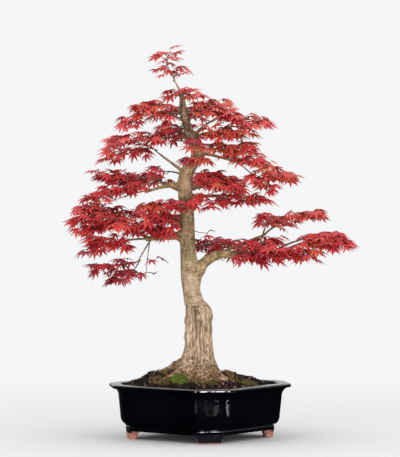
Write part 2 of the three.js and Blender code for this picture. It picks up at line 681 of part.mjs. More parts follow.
const tree = new THREE.Group();
tree.position.z = SOIL_SEAT + GAP;
growTrunk();
BOUGHS.forEach(growBough);
for (const [name, { solid }] of limbs) {
  const isTrunk = name === "trunk";
  tree.add(meshOf(solid, isTrunk ? "trunk" : `bough_${name}`, isTrunk ? BARK : BARK_YOUNG));
}

// A mass keeps clear of the limbs and of every other mass, of which later ones are only stems so far.
const limbSolids = [...limbs.values()].map(({ solid }) => solid);
const stems = MASSES.map(growStem);
const masses = stems.map(({ solid }) => solid);
MASSES.forEach((mass, index) => {
  const others = [...limbSolids, ...masses.filter((_, other) => other !== index)];
  masses[index] = growMass(mass, index + 1, stems[index], others);
  tree.add(meshOf(masses[index], `leaves_${mass.name}`, REDS[mass.tint]));
});

plant.add(pot, meshOf(soilSolid(), "soil", EARTH), tree);

// The origin is under the middle of the plant's box, on the ground.
plant.updateMatrixWorld(true);
const middle = new THREE.Box3().setFromObject(plant, true).getCenter(new THREE.Vector3());
plant.position.set(-middle.x, -middle.y, 0);

export default plant;
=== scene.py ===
"""A red-leaved maple bonsai in a black glazed pot: the looks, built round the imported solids.

Sizes are in millimetres, measured from the pot's axis (right, back) and, for the tree, up from the
trunk's foot. Pieces are put into the row's frame, in metres, as they are made.
"""

import bpy
import numpy as np
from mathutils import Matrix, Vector


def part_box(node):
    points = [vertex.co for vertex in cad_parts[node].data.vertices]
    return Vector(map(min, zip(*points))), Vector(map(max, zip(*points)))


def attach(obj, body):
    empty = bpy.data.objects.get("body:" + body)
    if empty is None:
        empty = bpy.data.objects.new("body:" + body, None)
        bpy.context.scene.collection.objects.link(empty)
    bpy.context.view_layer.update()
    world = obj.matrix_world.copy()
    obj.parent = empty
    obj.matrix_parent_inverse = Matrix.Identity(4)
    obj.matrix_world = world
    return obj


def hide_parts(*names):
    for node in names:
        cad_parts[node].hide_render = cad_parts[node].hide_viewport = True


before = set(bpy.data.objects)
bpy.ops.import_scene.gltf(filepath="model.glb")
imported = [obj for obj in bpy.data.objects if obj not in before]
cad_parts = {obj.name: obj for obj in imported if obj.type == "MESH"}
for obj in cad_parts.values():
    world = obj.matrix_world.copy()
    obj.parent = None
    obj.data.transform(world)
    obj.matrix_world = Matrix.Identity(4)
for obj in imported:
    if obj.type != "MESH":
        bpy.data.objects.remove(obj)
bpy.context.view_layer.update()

MM = 0.001
UP = np.array([0.0, 0.0, 1.0])
POT_LOW, POT_HIGH = (np.array(corner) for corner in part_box("pot"))
POT_AXIS = (POT_LOW + POT_HIGH) / 2 * [1, 1, 0]
TREE_FOOT = POT_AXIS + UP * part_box("trunk")[0].z

# Pot, as in the solids
POT_TURN = np.radians(52.7)
POT_SIDE = 262
POT_CUT = 152
POT_HEIGHT = 93
POT_EDGE_ROUND = 9
LIP_WIDTH = 19
LIP_DEPTH = 6.5
LIP_OVERHANG = 15
LIP_ROUND = 2.6
WALL_BATTER = 3
COVE_DEPTH = 16
BELLY_DEPTH = 17
BELLY_INSET = 9
PLINTH_DEPTH = 8
PLINTH_STEP = 1.5
UNDERSIDE_BEVEL = 4.5
UNDERSIDE_WIDTH = 30
FOOT_HEIGHT = 14
FOOT_SINK = 3
FOOT_TOP = (50, 20)
FOOT_BOTTOM = (36, 14)
FOOT_INSET = 37
FOOT_SLIP = 2
FLOOR_THICKNESS = 11
FLOOR_WIDTH = 40
INNER_BATTER = 9
POT_FLOOR = FOOT_HEIGHT + FLOOR_THICKNESS
FACING = 0.2  # least cosine at which a line from the axis faces a side

# Feet, as rounded oblongs one over the other
FOOT_SWEEP_END = 0.82  # share of the height where the sides stop sweeping out
FOOT_SWEEP_POWER = 1.9
FOOT_SQUARENESS = 2 / 7  # power that rounds the oblongs
FOOT_TUCK = 0.05  # share by which a foot narrows at the ground
FACES_FRONT = -0.9  # sine of a foot's turn below which it faces the front

# Handwork on the pot, as noise (depth, width, seed), and a painted highlight: the pale line along the lip's
# edge, in place of a reflection
WALL_WAVES = [(0.5, 34, 3.0)]
FOOT_WEAR = [(0.5, 5, 8.0)]
LIP_LINE_BELOW_TOP = 0.7
LIP_LINE_HALF = 0.6
LIP_LINE_PATCH = 9

# Glaze on the outer faces of the feet
FOOT_GLAZE_OUT = 5.2  # how far out from a foot's middle it starts
FOOT_GLAZE_WAVER = 2.2  # how much that wavers
FOOT_GLAZE_PATCH = 6  # width of the waver
FOOT_GLAZE_CREEP = 0.12  # how far in it creeps with each mm of height
FOOT_GLAZE_SOFT = 0.6  # half the width of its edge
FOOT_GLAZE_FROM = (0.6, 9.0)  # height it starts from on the front foot and on the others
FOOT_GLAZE_FADE = (1.6, 0.2)  # height over which it sets in, and the share of its start to add

# Soil
SOIL_EDGE = 86  # height at the wall
SOIL_RISE_FRONT = 12  # rise from the wall to the trunk in front
SOIL_RISES = (12, 18, 6)  # rise beyond that at the right, left and back
SOIL_SHOULDER = 0.4  # share of the way out that is level
SOIL_FRONT_SHARE = 0.45  # what is left of the side rises in front, where the roots lie bare
SOIL_FRONT_EASE = (-0.7, 0)  # sines of the angle between which they come back
SOIL_CLIMB = 1.2  # power of the climb
SOIL_CLIMB_RIGHT = 0.2  # how much less it is at the right
SOIL_EDGE_FADE = (1.0, 0.9)  # shares of the way out between which the rise sets in
SOIL_GAP = 0.6  # room between soil and pot
SOIL_CRUMBS = [(4.0, 17, 21.0), (2.2, 5.5, 22.0)]  # noise: height, width, seed

# Grit, and the count and colour of each tint
GRIT_SIZES = (0.8, 2.6)
GRIT_BAND = (0.12, 0.97)  # squared shares of the way out that it lies on
GRIT_UNEVEN = (0.72, 1.28)  # reach of a crumb's corners
GRIT_SQUASH = (0.7, 1.25)  # stretch of a crumb along each axis
GRIT_PROUD = 0.35  # height of its middle above the soil, as a share of its size
GRIT_ROOM = 2  # room at the wall
GRIT_OVER_ROOTS = 2  # how far it lies over the roots
GRIT_OFF_MOSS = 0.7  # share of a cushion's radius that it keeps off
GRIT = {
    "dark": (1872, (15, 10, 10)),
    "brown": (1152, (35, 23, 21)),
    "red": (432, (72, 45, 38)),
    "pale": (144, (128, 100, 80)),
}

# Moss cushions: right, back, radius, height, blades, and the share of bright blades
MOSSES = [
    (-36, -52, 18, 20, 3600, 0.7),
    (-54, -48, 15, 8, 1300, 0.0),
    (84, -34, 17, 5, 1300, 0.0),
    (14, -68, 14, 4, 900, 0.0),
    (-82, 30, 24, 5, 1800, 0.4),
    (40, 70, 24, 6, 2000, 0.4),
]

# Moss: tints and blades
MOSS_TINTS = {"bright": (100, 126, 44), "dull": (94, 82, 40), "dry": (128, 92, 58)}
MOSS_SWELL = 0.6  # share of a cushion's height and radius that swells the soil
MOSS_SPREAD = 1.15  # how far out blades stand, as a share of the radius
MOSS_CLUMP = 3.2  # width of clumps of one tint
MOSS_STRAY = 0.3  # span of a blade's stray from its clump's tint
MOSS_BRIGHT = 0.9  # noise below this times the cushion's share is bright
MOSS_GAP = 4.5  # width of gaps
MOSS_THINS = (-0.1, 0.65)  # noise that a blade needs at the middle and at the radius
MOSS_LOWERS = 0.4  # how much lower blades are at the radius
MOSS_OVER_ROOTS = 5  # how far it grows over the roots
MOSS_HEIGHTS = (2.4, 6.4)
MOSS_LEANS = (0.0, 0.9)
MOSS_SWING = 2  # span of a lean's swing, in radians
MOSS_BLADE = 0.75  # half the width of a blade
MOSS_SINK = 0.4

# Moss round the trunk's foot: blades and seed of each tint
FOOT_MOSS = {"dull": (1600, 91.0), "dry": (1700, 93.0)}
FOOT_MOSS_ARC = (-205, 25)  # degrees from the right
FOOT_MOSS_CROWD = 1.4  # power that crowds it to the left
FOOT_MOSS_OUT = 13  # how far out on the soil
FOOT_MOSS_UP = 14  # how far up the bark
FOOT_MOSS_ON_BARK = 3  # height from which it grows on bark
FOOT_MOSS_SINK = 2  # how far it sinks into the bark
FOOT_MOSS_OVER_ROOTS = 14  # how far it grows over the roots
FOOT_MOSS_CLUMP = 9  # width of clumps
FOOT_MOSS_GAPS = (0.38, 0.015)  # noise that a blade needs at the ground, and more with each mm up
FOOT_MOSS_LOWERS = 18  # distance out at which blades would have no height
FOOT_MOSS_HEIGHTS = (2.2, 6.5)
FOOT_MOSS_LEANS = (0.1, 0.8)

# Trunk stations (up, right, back, radius) and root flare, as in the solids
TRUNK = np.array([
    (0, -2, 0, 24),
    (62, -2, 0, 23),
    (121, -3, 1, 23.5),
    (142, -12, 2, 16.6),
    (190, -19, 3, 14.5),
    (280, -22, 2, 12.2),
    (345, -25, -4, 13),
    (388, -4, -6, 12),
    (446, -26, 2, 8.6),
    (486, -30, 6, 6),
], float)
TRUNK_TOP = TRUNK[-1, 0]
ROOT_FLARE = 38
ROOT_FLARE_HEIGHT = 20
ROOT_COUNT = 6
ROOT_TURN = 2.6
ROOT_RIDGE = 0.28
ROOT_LEFT = 0.75
GRAFT = 128

# Bark: the radii that its features are measured on, and the heights between which each zone of it sets in
FOOT_SKIN = 32
STOCK_SKIN = 23
UPPER_SKIN = 14
CRAG_SKIN = 12
TOP_SKIN = 8
BARK_ZONES = {
    "all": (-2, -1),
    "stock": (GRAFT + 4, GRAFT - 4),
    "upper": (GRAFT - 4, GRAFT + 4),
    "swollen": (GRAFT + 10, GRAFT - 20),
    "plated": (70, 20),
    "knobbly": (64, 20),
    "scaly": (46, 14),
    "craggy": (330, 420),
}

# Creases: zone, whether they twist round the trunk, depth, width, height, skin, sharpness, seed
BARK_TWIST = (0.5, 40, 70, STOCK_SKIN, 41.0)  # noise: turn in radians, width, height, skin, seed
BARK_CREASES = [
    ("stock", True, 1.1, 4.6, 40, STOCK_SKIN, 5, 42.0),
    ("stock", True, 1.2, 2.0, 11, STOCK_SKIN, 3, 43.0),
    ("plated", False, 1.6, 4.4, 6, STOCK_SKIN, 3, 44.0),
    ("scaly", False, 1.3, 1.7, 2.2, STOCK_SKIN, 3, 56.0),
    ("upper", False, 0.15, 16, 2.6, UPPER_SKIN, 4, 46.0),
    ("upper", True, 0.5, 2.6, 22, UPPER_SKIN, 4, 47.0),
    ("craggy", False, 2.6, 5, 15, CRAG_SKIN, 2, 49.0),
]

# Fine grain, and broad lumps that stand out: zone, depth or height, width, height, skin, seed
BARK_GRAIN = [("stock", 1.2, 1.4, 5, STOCK_SKIN, 45.0), ("upper", 0.35, 2, 4, STOCK_SKIN, 48.0)]
BARK_LUMPS = [
    ("swollen", 2.4, 12, 60, STOCK_SKIN, 52.0),
    ("knobbly", 4.4, 7, 9, STOCK_SKIN, 54.0),
    ("all", 1.4, 11, 30, UPPER_SKIN, 53.0),
]

# Seam at the graft
SEAM_DEPTH = 2.4
SEAM_HALF = 1.6  # half its height
SEAM_SLANT = (2, 2.2)  # how far it slants, and the turn of the slant
SEAM_WAVER = (4, 7, 60, STOCK_SKIN, 50.0)  # noise: how far, width, height, skin, seed
SEAM_GAPS = (5, 30, STOCK_SKIN, 51.0)  # noise that opens it: width, height, skin, seed
SEAM_OPEN = (0.2, 0.55)  # values of that noise where it is shut and open

# Ovals on the skin: depth or height, angle, height, half width, half height, skin. The hollows are a
# niche under the graft with its raised middle and three grooves; the swells are the burr, two shoulders
# and a stub near the top
HOLLOWS = [
    (3.6, -97, 117, 5.5, 7, STOCK_SKIN),
    (-2.2, -97, 112, 2.2, 6, STOCK_SKIN),
    (2.4, -103, 92, 2.2, 20, STOCK_SKIN),
    (2.0, -84, 84, 1.8, 26, STOCK_SKIN),
    (1.6, -56, 96, 2.4, 18, STOCK_SKIN),
]
BURR = (182, 104, 7, 6, STOCK_SKIN)
BURR_RINGS = (1.3, 3.2)  # depth and spacing
SWELLS = [
    (3.2, *BURR),
    (2.0, 178, 76, 6, 7, STOCK_SKIN),
    (1.8, -8, 112, 12, 9, STOCK_SKIN),
    (2.8, 180, 463, 4.5, 5, TOP_SKIN),
]

# Pits at the foot: angle, height, half width, half height
PIT_DEPTH = 3.0
PITS = [
    (-84, 28, 3.0, 1.9), (-71, 37, 2.0, 1.5), (-57, 36, 2.4, 1.5), (-92, 23, 3.2, 1.3),
    (-118, 40, 2.0, 2.4), (-30, 26, 2.4, 2.0), (-140, 22, 2.6, 1.8), (100, 30, 3.0, 2.0),
    (30, 34, 2.2, 2.4), (160, 30, 3.0, 2.2),
]

# Knots above the graft: angle, height, size. Each is a raised round with a narrower hollow
KNOT_RAISED = 1.3
KNOT_HOLLOW = (1.8, 0.45, 0.4)  # depth, and shares of the size
KNOTS = [
    (-76, 177, 3.6), (-120, 214, 4.5), (-20, 237, 5), (-70, 262, 4),
    (-150, 300, 5), (-60, 352, 6), (70, 196, 6),
]

# Rings of the trunk
TRUNK_FINE_BELOW = 140
TRUNK_RINGS = (165, 225)  # below that height and above it
TRUNK_TOP_ROUND = (0, 0, 0.2, 1.2)  # how far the last rings drop
FLARE_UNEVEN = (0.3, 20, 90, STOCK_SKIN, 55.0)  # noise: share of the flare, width, height, skin, seed

# Painted shade in the furrows and hollows, by the relief's depth
FURROW_FROM = 0.7  # depth where it starts
FURROW_FULL = (2.8, 2.2)  # depth from there to full painted shade, on the stock and above
FURROW_CHANGE = (GRAFT, GRAFT + 14)  # heights between which that changes
FURROW_HOLLOW = 0.22  # painted shade for each mm of a hollow

# Tones of the bark from the foot up: the heights in metres between which each sets in, and its dark,
# middle and pale. The second and fourth are darker partly for the bark's own colour and partly as painted
# shadow under the leaf masses above them
BARK_TONES = [
    (0.112, 0.140, (122, 98, 76), (164, 138, 112), (190, 166, 140)),
    (0.165, 0.250, (88, 72, 50), (132, 109, 80), (166, 143, 110)),
    (0.300, 0.335, (108, 86, 62), (156, 127, 97), (188, 160, 126)),
    (0.375, 0.410, (76, 58, 46), (124, 98, 77), (164, 136, 110)),
    (0.462, 0.484, (120, 94, 72), (164, 136, 114), (190, 164, 140)),
]

# Boughs, a few of them a little fuller or thinner than in the solids: the limb that carries it, where it
# leaves that (a height on the trunk, a share of a bough's length), tip, arch near the start, radii at
# start and tip
BOUGHS = {
    "right_low": ("trunk", 160, (66, -8, 212), 56, (11.4, 6.6)),
    "right_low_outer": ("right_low", 0.84, (150, 6, 223), -2, (4.6, 2.4)),
    "right_low_rise": ("right_low", 0.68, (112, 20, 249), 4, (3.4, 1.8)),
    "left_low": ("trunk", 246, (-92, -12, 242), 4, (8, 3.6)),
    "left_low_outer": ("left_low", 0.9, (-138, 6, 262), 3, (3.2, 2)),
    "left_drop": ("left_low", 0.84, (-104, -34, 206), 4, (1.7, 1.1)),
    "left_mid": ("trunk", 331, (-92, 8, 322), 10, (4.6, 2)),
    "left_upper": ("trunk", 352, (-76, -8, 392), 0, (3.6, 1.1)),
    "left_top": ("trunk", 440, (-60, -6, 457), 3, (2.5, 1.3)),
    "right_upper": ("trunk", 388, (68, -10, 370), 5, (3.2, 1.1)),
    "right_top": ("trunk", 414, (26, -4, 445), 10, (2.9, 1.4)),
    "right_mid": ("trunk", 312, (20, 12, 314), 4, (4, 2)),
    "back_low": ("trunk", 262, (-44, 62, 272), 6, (5.6, 2.6)),
    "back_right_low": ("trunk", 214, (-14, 60, 222), 6, (4.8, 2.4)),
    "back_mid": ("trunk", 322, (6, 56, 330), 5, (4.8, 2.2)),
    "back_left_mid": ("trunk", 318, (-66, 56, 336), 5, (4.4, 2.2)),
    "back_upper": ("trunk", 404, (-34, 52, 424), 4, (4, 2)),
}

# Shoots too thin for the solids, told in the same way
SHOOTS = {
    "apex_shoot": ("trunk", 484, (-57, 6, 540), 0, (1.6, 0.8)),
    "drop_twig": ("left_low", 0.9, (-92, -42, 178), 2, (1.2, 0.6)),
    "sprig_twig": ("trunk", 262, (14, -22, 252), -6, (1.0, 0.6)),
    "left_mid_run": ("left_mid", 0.93, (-152, 2, 305), 6, (1.5, 0.6)),
}

# Roots that run out over the soil, told in the same way
ROOTS = {
    "left_root": ("trunk", 36, (-104, -6, -4), 11, (9, 2.5)),
    "back_root": ("trunk", 31, (50, 74, -6), 7, (8.5, 2)),
    "back_left_root": ("trunk", 31, (-60, 70, -6), 7, (8.5, 2)),
}

# Limbs
BEND = 0.32  # share of the way to the tip where the arch pulls
COLLAR = 1.5  # reach of a collar, in radii
COLLAR_DEPTH = 0.5  # how deep in the trunk a bough still raises one, in radii
COLLAR_SPAN = 6  # how far up and down the trunk one is looked for, in radii
STEEP = 0.9  # mean climb above which a tube's rings are squared to the right

# Boughs and roots: their rings and bark
BOUGH_STATIONS = 60
BOUGH_LUMPS = [(0.34, 11, 61.0), (0.16, 4, 62.0)]  # noise: share of the radius, width, seed
BOUGH_CREASES = (3.0, 3, 63.0)  # noise: width, sharpness, seed
BOUGH_CREASE_DEPTH = 0.25
ROOT_CREASE_DEPTH = 0.9  # deeper than on boughs by this
BOUGH_START = 0.5  # share of its radius that a limb starts from
BOUGH_GROWTH = 0.22  # share of its length over which it grows to the full radius
BOUGH_SHADE = 0.7  # painted shade in the creases
ROOT_DARKENING = 0.45  # how much darker roots are all over

# Sprays of leaves: limb, where it leaves it, furthest point, width, thickness, arch of the stem, kind
# of red, the bare share of the stem, and the step from one pair of twigs to the next
SPARSE, LOOSE, OPEN, EVEN, CLOSE = 60, 40, 26, 18, 14
SPRAYS = {
    "apex_top": ("apex_shoot", 1, (-48, 4, 576), 60, 36, 0, "pink", 0, SPARSE),
    "apex_top_near": ("apex_shoot", 0.9, (-62, -26, 563), 56, 34, 0, "pink", 0, SPARSE),
    "apex_left": ("apex_shoot", 0.66, (-72, 0, 546), 60, 46, 6, "red", 0.2, SPARSE),
    "apex_near": ("apex_shoot", 0.5, (-46, -42, 546), 66, 50, 8, "crimson", 0.2, SPARSE),
    "apex_right": ("apex_shoot", 0.5, (-32, 4, 534), 60, 46, 10, "red", 0.2, SPARSE),
    "crown_top": ("trunk", 478, (9, -14, 483), 56, 40, 10, "orange", 0, EVEN),
    "crown_left": ("trunk", 482, (-62, -14, 498), 50, 36, 8, "pink", 0, OPEN),
    "crown_front": ("trunk", 480, (-24, -46, 504), 50, 40, 8, "pink", 0, EVEN),
    "crown_back": ("trunk", 478, (-40, 44, 500), 60, 40, 8, "pink", 0, EVEN),
    "left_top": ("trunk", 458, (-130, -22, 478), 78, 46, 14, "red", 0.3, CLOSE),
    "left_top_in": ("trunk", 452, (-72, -34, 462), 56, 40, 6, "red", 0.1, EVEN),
    "left_top_low": ("left_top", 1, (-160, -8, 432), 84, 46, 8, "red", 0, EVEN),
    "left_close": ("trunk", 434, (-52, -40, 421), 56, 46, 6, "crimson", 0, EVEN),
    "left_inner": ("trunk", 412, (-172, -30, 404), 96, 54, 8, "crimson", 0.12, EVEN),
    "left_upper": ("left_upper", 1, (-184, -4, 384), 88, 38, 12, "crimson", 0.1, EVEN),
    "left_sprig": ("trunk", 352, (-94, -26, 364), 44, 26, 4, "deep", 0.5, OPEN),
    "right_top": ("trunk", 456, (68, 10, 486), 76, 42, 10, "orange", 0.2, EVEN),
    "right_top_in": ("trunk", 444, (86, -40, 456), 76, 44, 12, "red", 0.36, EVEN),
    "right_top_low": ("right_top", 1, (143, -2, 441), 70, 34, 6, "orange", 0, EVEN),
    "right_inner": ("trunk", 416, (102, -38, 423), 88, 48, 12, "orange", 0.1, CLOSE),
    "right_inner_low": ("trunk", 402, (114, -20, 395), 104, 56, 2, "orange", 0.1, CLOSE),
    "right_upper_rise": ("right_upper", 0.55, (134, -24, 362), 88, 46, 4, "orange", 0, EVEN),
    "right_upper_outer": ("right_upper", 1, (176, -8, 336), 104, 58, 18, "orange", 0.5, EVEN),
    "right_upper_drop": ("right_upper", 0.95, (144, -34, 304), 66, 38, 2, "red", 0.55, EVEN),
    "left_mid": ("left_mid", 1, (-200, 10, 360), 108, 62, 12, "crimson", 0.26, CLOSE),
    "left_mid_low": ("left_mid", 0.9, (-211, -22, 311), 92, 46, 14, "crimson", 0.1, CLOSE),
    "right_mid_high": ("trunk", 342, (78, -44, 346), 78, 42, 10, "red", 0, CLOSE),
    "right_mid_inner": ("trunk", 330, (92, -56, 330), 84, 46, 10, "crimson", 0.1, EVEN),
    "right_mid": ("right_mid", 1, (134, 0, 303), 92, 46, 8, "red", 0.1, EVEN),
    "right_mid_low": ("right_mid", 0.6, (50, -56, 288), 60, 38, 4, "red", 0.25, CLOSE),
    "left_low_upper": ("trunk", 292, (-112, -30, 308), 92, 54, 10, "red", 0, CLOSE),
    "left_low_inner": ("trunk", 272, (-168, -64, 276), 116, 72, 22, "crimson", 0, CLOSE),
    "left_low_front": ("left_low", 0.3, (-128, -70, 264), 88, 42, 8, "crimson", 0, CLOSE),
    "left_low_outer": ("left_low_outer", 1, (-231, 8, 284), 132, 84, 26, "crimson", 0, CLOSE),
    "left_low_high": ("left_low_outer", 0.7, (-218, 4, 316), 96, 54, 20, "red", 0.15, CLOSE),
    "left_low_under": ("left_low", 1, (-214, -32, 227), 100, 58, 4, "deep", 0.4, CLOSE),
    "left_low_edge": ("left_low_outer", 0.8, (-226, -20, 254), 90, 44, 14, "crimson", 0.2, CLOSE),
    "left_hanging": ("left_drop", 1, (-206, -44, 188), 80, 40, -4, "dark", 0.15, EVEN),
    "left_hanging_low": ("left_drop", 1, (-160, -70, 156), 76, 42, -16, "dark", 0.3, EVEN),
    "left_hanging_in": ("drop_twig", 0.55, (-70, -60, 204), 40, 30, 4, "dark", 0.2, SPARSE),
    "left_hanging_foot": ("drop_twig", 0.9, (-60, -58, 186), 40, 30, 4, "dark", 0.3, SPARSE),
    "right_sprig": ("sprig_twig", 1, (30, -40, 264), 36, 26, 6, "deep", 0.4, SPARSE),
    "right_low_in": ("trunk", 240, (10, -44, 243), 48, 18, 2, "deep", 0, LOOSE),
    "right_low_near": ("right_low", 1, (166, -68, 219), 104, 54, 8, "deep", 0.2, CLOSE),
    "right_low_under": ("right_low", 0.85, (126, -50, 200), 70, 44, 4, "deep", 0.5, EVEN),
    "right_low_mid": ("right_low_rise", 0.4, (152, -30, 238), 92, 46, 6, "red", 0.12, CLOSE),
    "right_low_up": ("right_low_rise", 0.95, (130, 4, 311), 70, 30, 8, "red", 0.5, EVEN),
    "right_low_rise": ("right_low_rise", 1, (226, 28, 306), 100, 46, 14, "red", 0.16, EVEN),
    "right_low_tip": ("right_low_outer", 1, (277, -4, 240), 108, 68, 16, "red", 0.4, EVEN),
    "right_low_tip_up": ("right_low_outer", 0.8, (262, 14, 264), 84, 36, 12, "red", 0.5, EVEN),
    "right_low_fringe": ("right_low_outer", 0.9, (216, -30, 214), 80, 40, 8, "red", 0, EVEN),
    "right_low_back": ("back_right_low", 1, (98, 142, 230), 108, 48, 12, "deep", 0, EVEN),
    "front_upper": ("trunk", 404, (4, -88, 406), 44, 36, 8, "dusk", 0.3, OPEN),
    "front_mid": ("trunk", 366, (3, -88, 391), 70, 52, 8, "dusk", 0.3, EVEN),
    "front_low": ("trunk", 304, (-32, -90, 297), 60, 46, 8, "crimson", 0.3, CLOSE),
    "back_low": ("back_low", 1, (-76, 166, 288), 126, 56, 14, "deep", 0, EVEN),
    "back_mid": ("back_mid", 1, (54, 152, 340), 120, 52, 14, "crimson", 0, EVEN),
    "back_left_mid": ("back_left_mid", 1, (-138, 142, 348), 114, 52, 14, "crimson", 0, EVEN),
    "back_upper": ("back_upper", 1, (-44, 142, 430), 116, 48, 12, "crimson", 0, EVEN),
    "back_top": ("trunk", 450, (-24, 104, 470), 90, 46, 10, "red", 0, EVEN),
    "left_low_close": ("trunk", 262, (-86, -62, 252), 62, 40, 4, "crimson", 0.35, CLOSE),
}

# Stems of the masses, by the solids' rule
FIRST_NODE = 0.6  # where the first pair of twigs stands, in steps
STEM_STATIONS = 14
STEM_SIDES = 9
STEM_END_ROOM = 46  # how far before the furthest point the stem ends
STEM_END_MOST = 0.6  # most of the stem's length that this may take
STEM_END_SHARE = 0.98  # where the fan of twigs at its end stands
STEM_END_FAN = (-52, 0, 52)
STEM_RADII = (2.0, 0.8)
STEM_SINK = 4  # how far it starts inside its limb
SPACE_LIMIT = 1.25  # a mass's rounded box is where its sum of fourth powers is below this

# Twigs, finer than in the solids
TWIG_ANGLE = (38, 88)  # degrees from the stem
TWIG_SWING = 0.6  # span of a try's swing about that, in radians
TWIG_RISE = (-34, 22)
TWIG_LEAST = 5  # shortest twig
TWIG_SPAN = 4  # least span of the twigs' lengths
TWIG_LEAF_ROOM = 24  # room for leaves beyond a twig
TWIG_LEAF_SHARE = 0.6  # share of that room that has to lie inside the space
TWIG_TRUNK_ROOM = 6
TWIG_RADII = (0.9, 0.45)
TWIG_SAG = 0.1
TWIG_STATIONS = 6
TWIG_SIDES = 6
ATTEMPTS = 12

# Leaf stalks
LEAF_NODE_SPACING = 17
TWIG_LEVELLING = 0.5  # share of a twig's climb that its stalks follow
STALK_END_ANGLE = (14, 48)  # degrees from the twig for the pair at its end
STALK_SIDE_ANGLE = (38, 82)
STALK_RISE = (-16, 34)
STALK_LENGTHS = (8, 17)
STALK_RADIUS = 0.42
STALK_SAG = -0.06
STALK_STATIONS = 4
STALK_SIDES = 4

# Leaves of natural size, measured in their own length where they have no unit
LEAF_LENGTHS = (15, 24)
LEAF_SPACE = (1.15, 1.4)  # width and thickness of the leaves' space, in those of the mass
LEAF_TRUNK_ROOM = 9
LEAF_DROOP = (-8, 26)
LEAF_ROLL = 30
LEAF_LEVELLING = 0.3  # share of a stalk's climb that its leaf follows
LEAF_CURL = (3.5, 8)  # how far a tip hangs, in mm
LEAF_FOLD = 0.25  # share of the curl that folds the sides down
LEAF_THICKNESS = 0.03
LEAF_NOTCH = 0.35  # reach of a notch, in the shorter lobe beside it
LEAF_HEEL = (165, 0.1)  # turn and reach of the notches beside the stalk
LOBES = [(-120, 0.44), (-78, 0.76), (-38, 0.94), (0, 1.0), (38, 0.94), (78, 0.76), (120, 0.44)]
LOBE_WAIST = 0.5  # where a lobe is widest
LOBE_HALF_WIDTH = 0.13
LOBE_WIDTH_POWER = 0.7  # how its width follows its length
LOBE_UNEVEN = (0.88, 1.12)
RIB_REACH = 0.96  # where the midrib is highest, in the waist's reach
RIB_LIFT = 1.4  # its height, in thicknesses

# Sprays that reach further to the front than this may hang before the trunk; the others leave it open
FRONT_SPRAYS = -84
FRONT_ROOM = 8
FRONT_BELOW_TOP = 10

# Reds of the leaves with their slots, how each kind of mass deals them out to its twigs, and the share
# of leaves that take the next red in the deal. The deep, dark and dusk kinds go to sprays under, inside
# and behind the crown, hanging below it and before the trunk: their darker reds are partly the leaves'
# own colour and partly painted shade
REDS = {
    "red": ((192, 60, 57), "leaf_red"),
    "bright": ((202, 80, 74), "leaf_red"),
    "crimson": ((188, 50, 54), "leaf_crimson"),
    "deep": ((178, 46, 52), "leaf_deep"),
    "wine": ((148, 38, 46), "leaf_deep"),
    "orange": ((196, 88, 62), "leaf_orange"),
    "rust": ((184, 74, 56), "leaf_orange"),
    "pink": ((212, 118, 114), "leaf_pink"),
}
DEALS = {
    "red": ["red", "red", "bright", "crimson", "crimson", "orange", "deep", "red"],
    "crimson": ["crimson", "crimson", "red", "deep", "red", "bright", "crimson", "wine"],
    # deep, dark and dusk: darker reds, partly the leaves' own colour and partly painted shade
    "deep": ["deep", "crimson", "deep", "wine", "crimson", "red", "deep", "crimson"],
    "orange": ["orange", "red", "rust", "orange", "bright", "red", "crimson", "rust"],
    "pink": ["pink", "red", "bright", "red", "orange", "crimson", "pink", "crimson"],
    "dark": ["wine", "deep", "wine", "wine", "crimson", "wine", "deep", "wine"],
    "dusk": ["rust", "wine", "deep", "rust", "wine", "deep", "wine", "rust"],
}
STRAY_SHARE = 0.15

# Camera: distance from the pot's axis and height that it is aimed at, in metres, and degrees that it
# looks down
CAMERA_DISTANCE = 4.73
CAMERA_AIM = 0.356
CAMERA_PITCH = 1.2
CAMERA_LENS = 219
CAMERA_SENSOR = 36

# Studio: the white behind the plant; the floor's radius in metres, tone, where it fades and what the
# glaze mirrors of it; the soft light; and how pale the mirrored room grows from the front to the back
BACKDROP = (0.915, 0.92, 0.93, 1)
FLOOR_RADIUS = 2.6
FLOOR_TONE = (0.62, 0.62, 0.63, 1)
FLOOR_FADE = (0.45, 1.5)
FLOOR_MIRRORED = (0.008, 0.008, 0.01, 1)
SOFT_TONE = (1.0, 0.99, 0.97, 1)
SOFT_LIGHT = 1.25
ROOM_PALE = {"From Min": -0.3, "From Max": 0.5, "To Min": 0.0, "To Max": 0.85}

# Lamps: place and aim in metres, width and height, watts, and whether the glaze mirrors it
CROWN = (0, 0, 0.4)
POT_WALL = (0, 0, 0.1)
LAMPS = {
    "key": ((-1.7, -2.3, 2.3), CROWN, (1.4, 1.4), 10, True),
    "fill": ((2.2, -1.5, 1.4), CROWN, (0.8, 1.6), 7, True),
    "top": ((0.1, 0.2, 2.4), CROWN, (1.8, 1.8), 6, True),
    "low": ((0.1, -2.4, 0.16), CROWN, (2.4, 0.3), 30, False),
    "strip": ((0.95, -3.4, 0.7), POT_WALL, (0.06, 0.9), 5, True),
}

# Cards that only the glaze mirrors, for the bright spots on the pot's front and its lip: the spot
# (right, back, up), the angle from the right to the card, how far away, the drop to it, width, height,
# and how bright
CARDS = [
    ((27, -135, 59), -74.6, 100, 27, 7, 18, 0.8),
    ((14, -136, 57), -74.6, 100, 27, 6, 16, 0.3),
    ((20, -135, 58), -74.6, 100, 27, 44, 16, 0.05),
    ((52, -131, 59), -18.5, 100, 25, 130, 18, 3.2),
    ((-14, -141, 58), -103, 100, 26, 110, 18, 0.45),
    ((-15, -155, 90), -74.6, 150, 16, 5, 65, 26.0),
    ((6, -152, 90), -74.6, 150, 16, 11, 65, 32.0),
    ((32, -149, 90), -74.6, 150, 16, 17, 65, 24.0),
    ((57, -146, 90), -74.6, 150, 16, 6, 65, 26.0),
]


# Numbers that look random

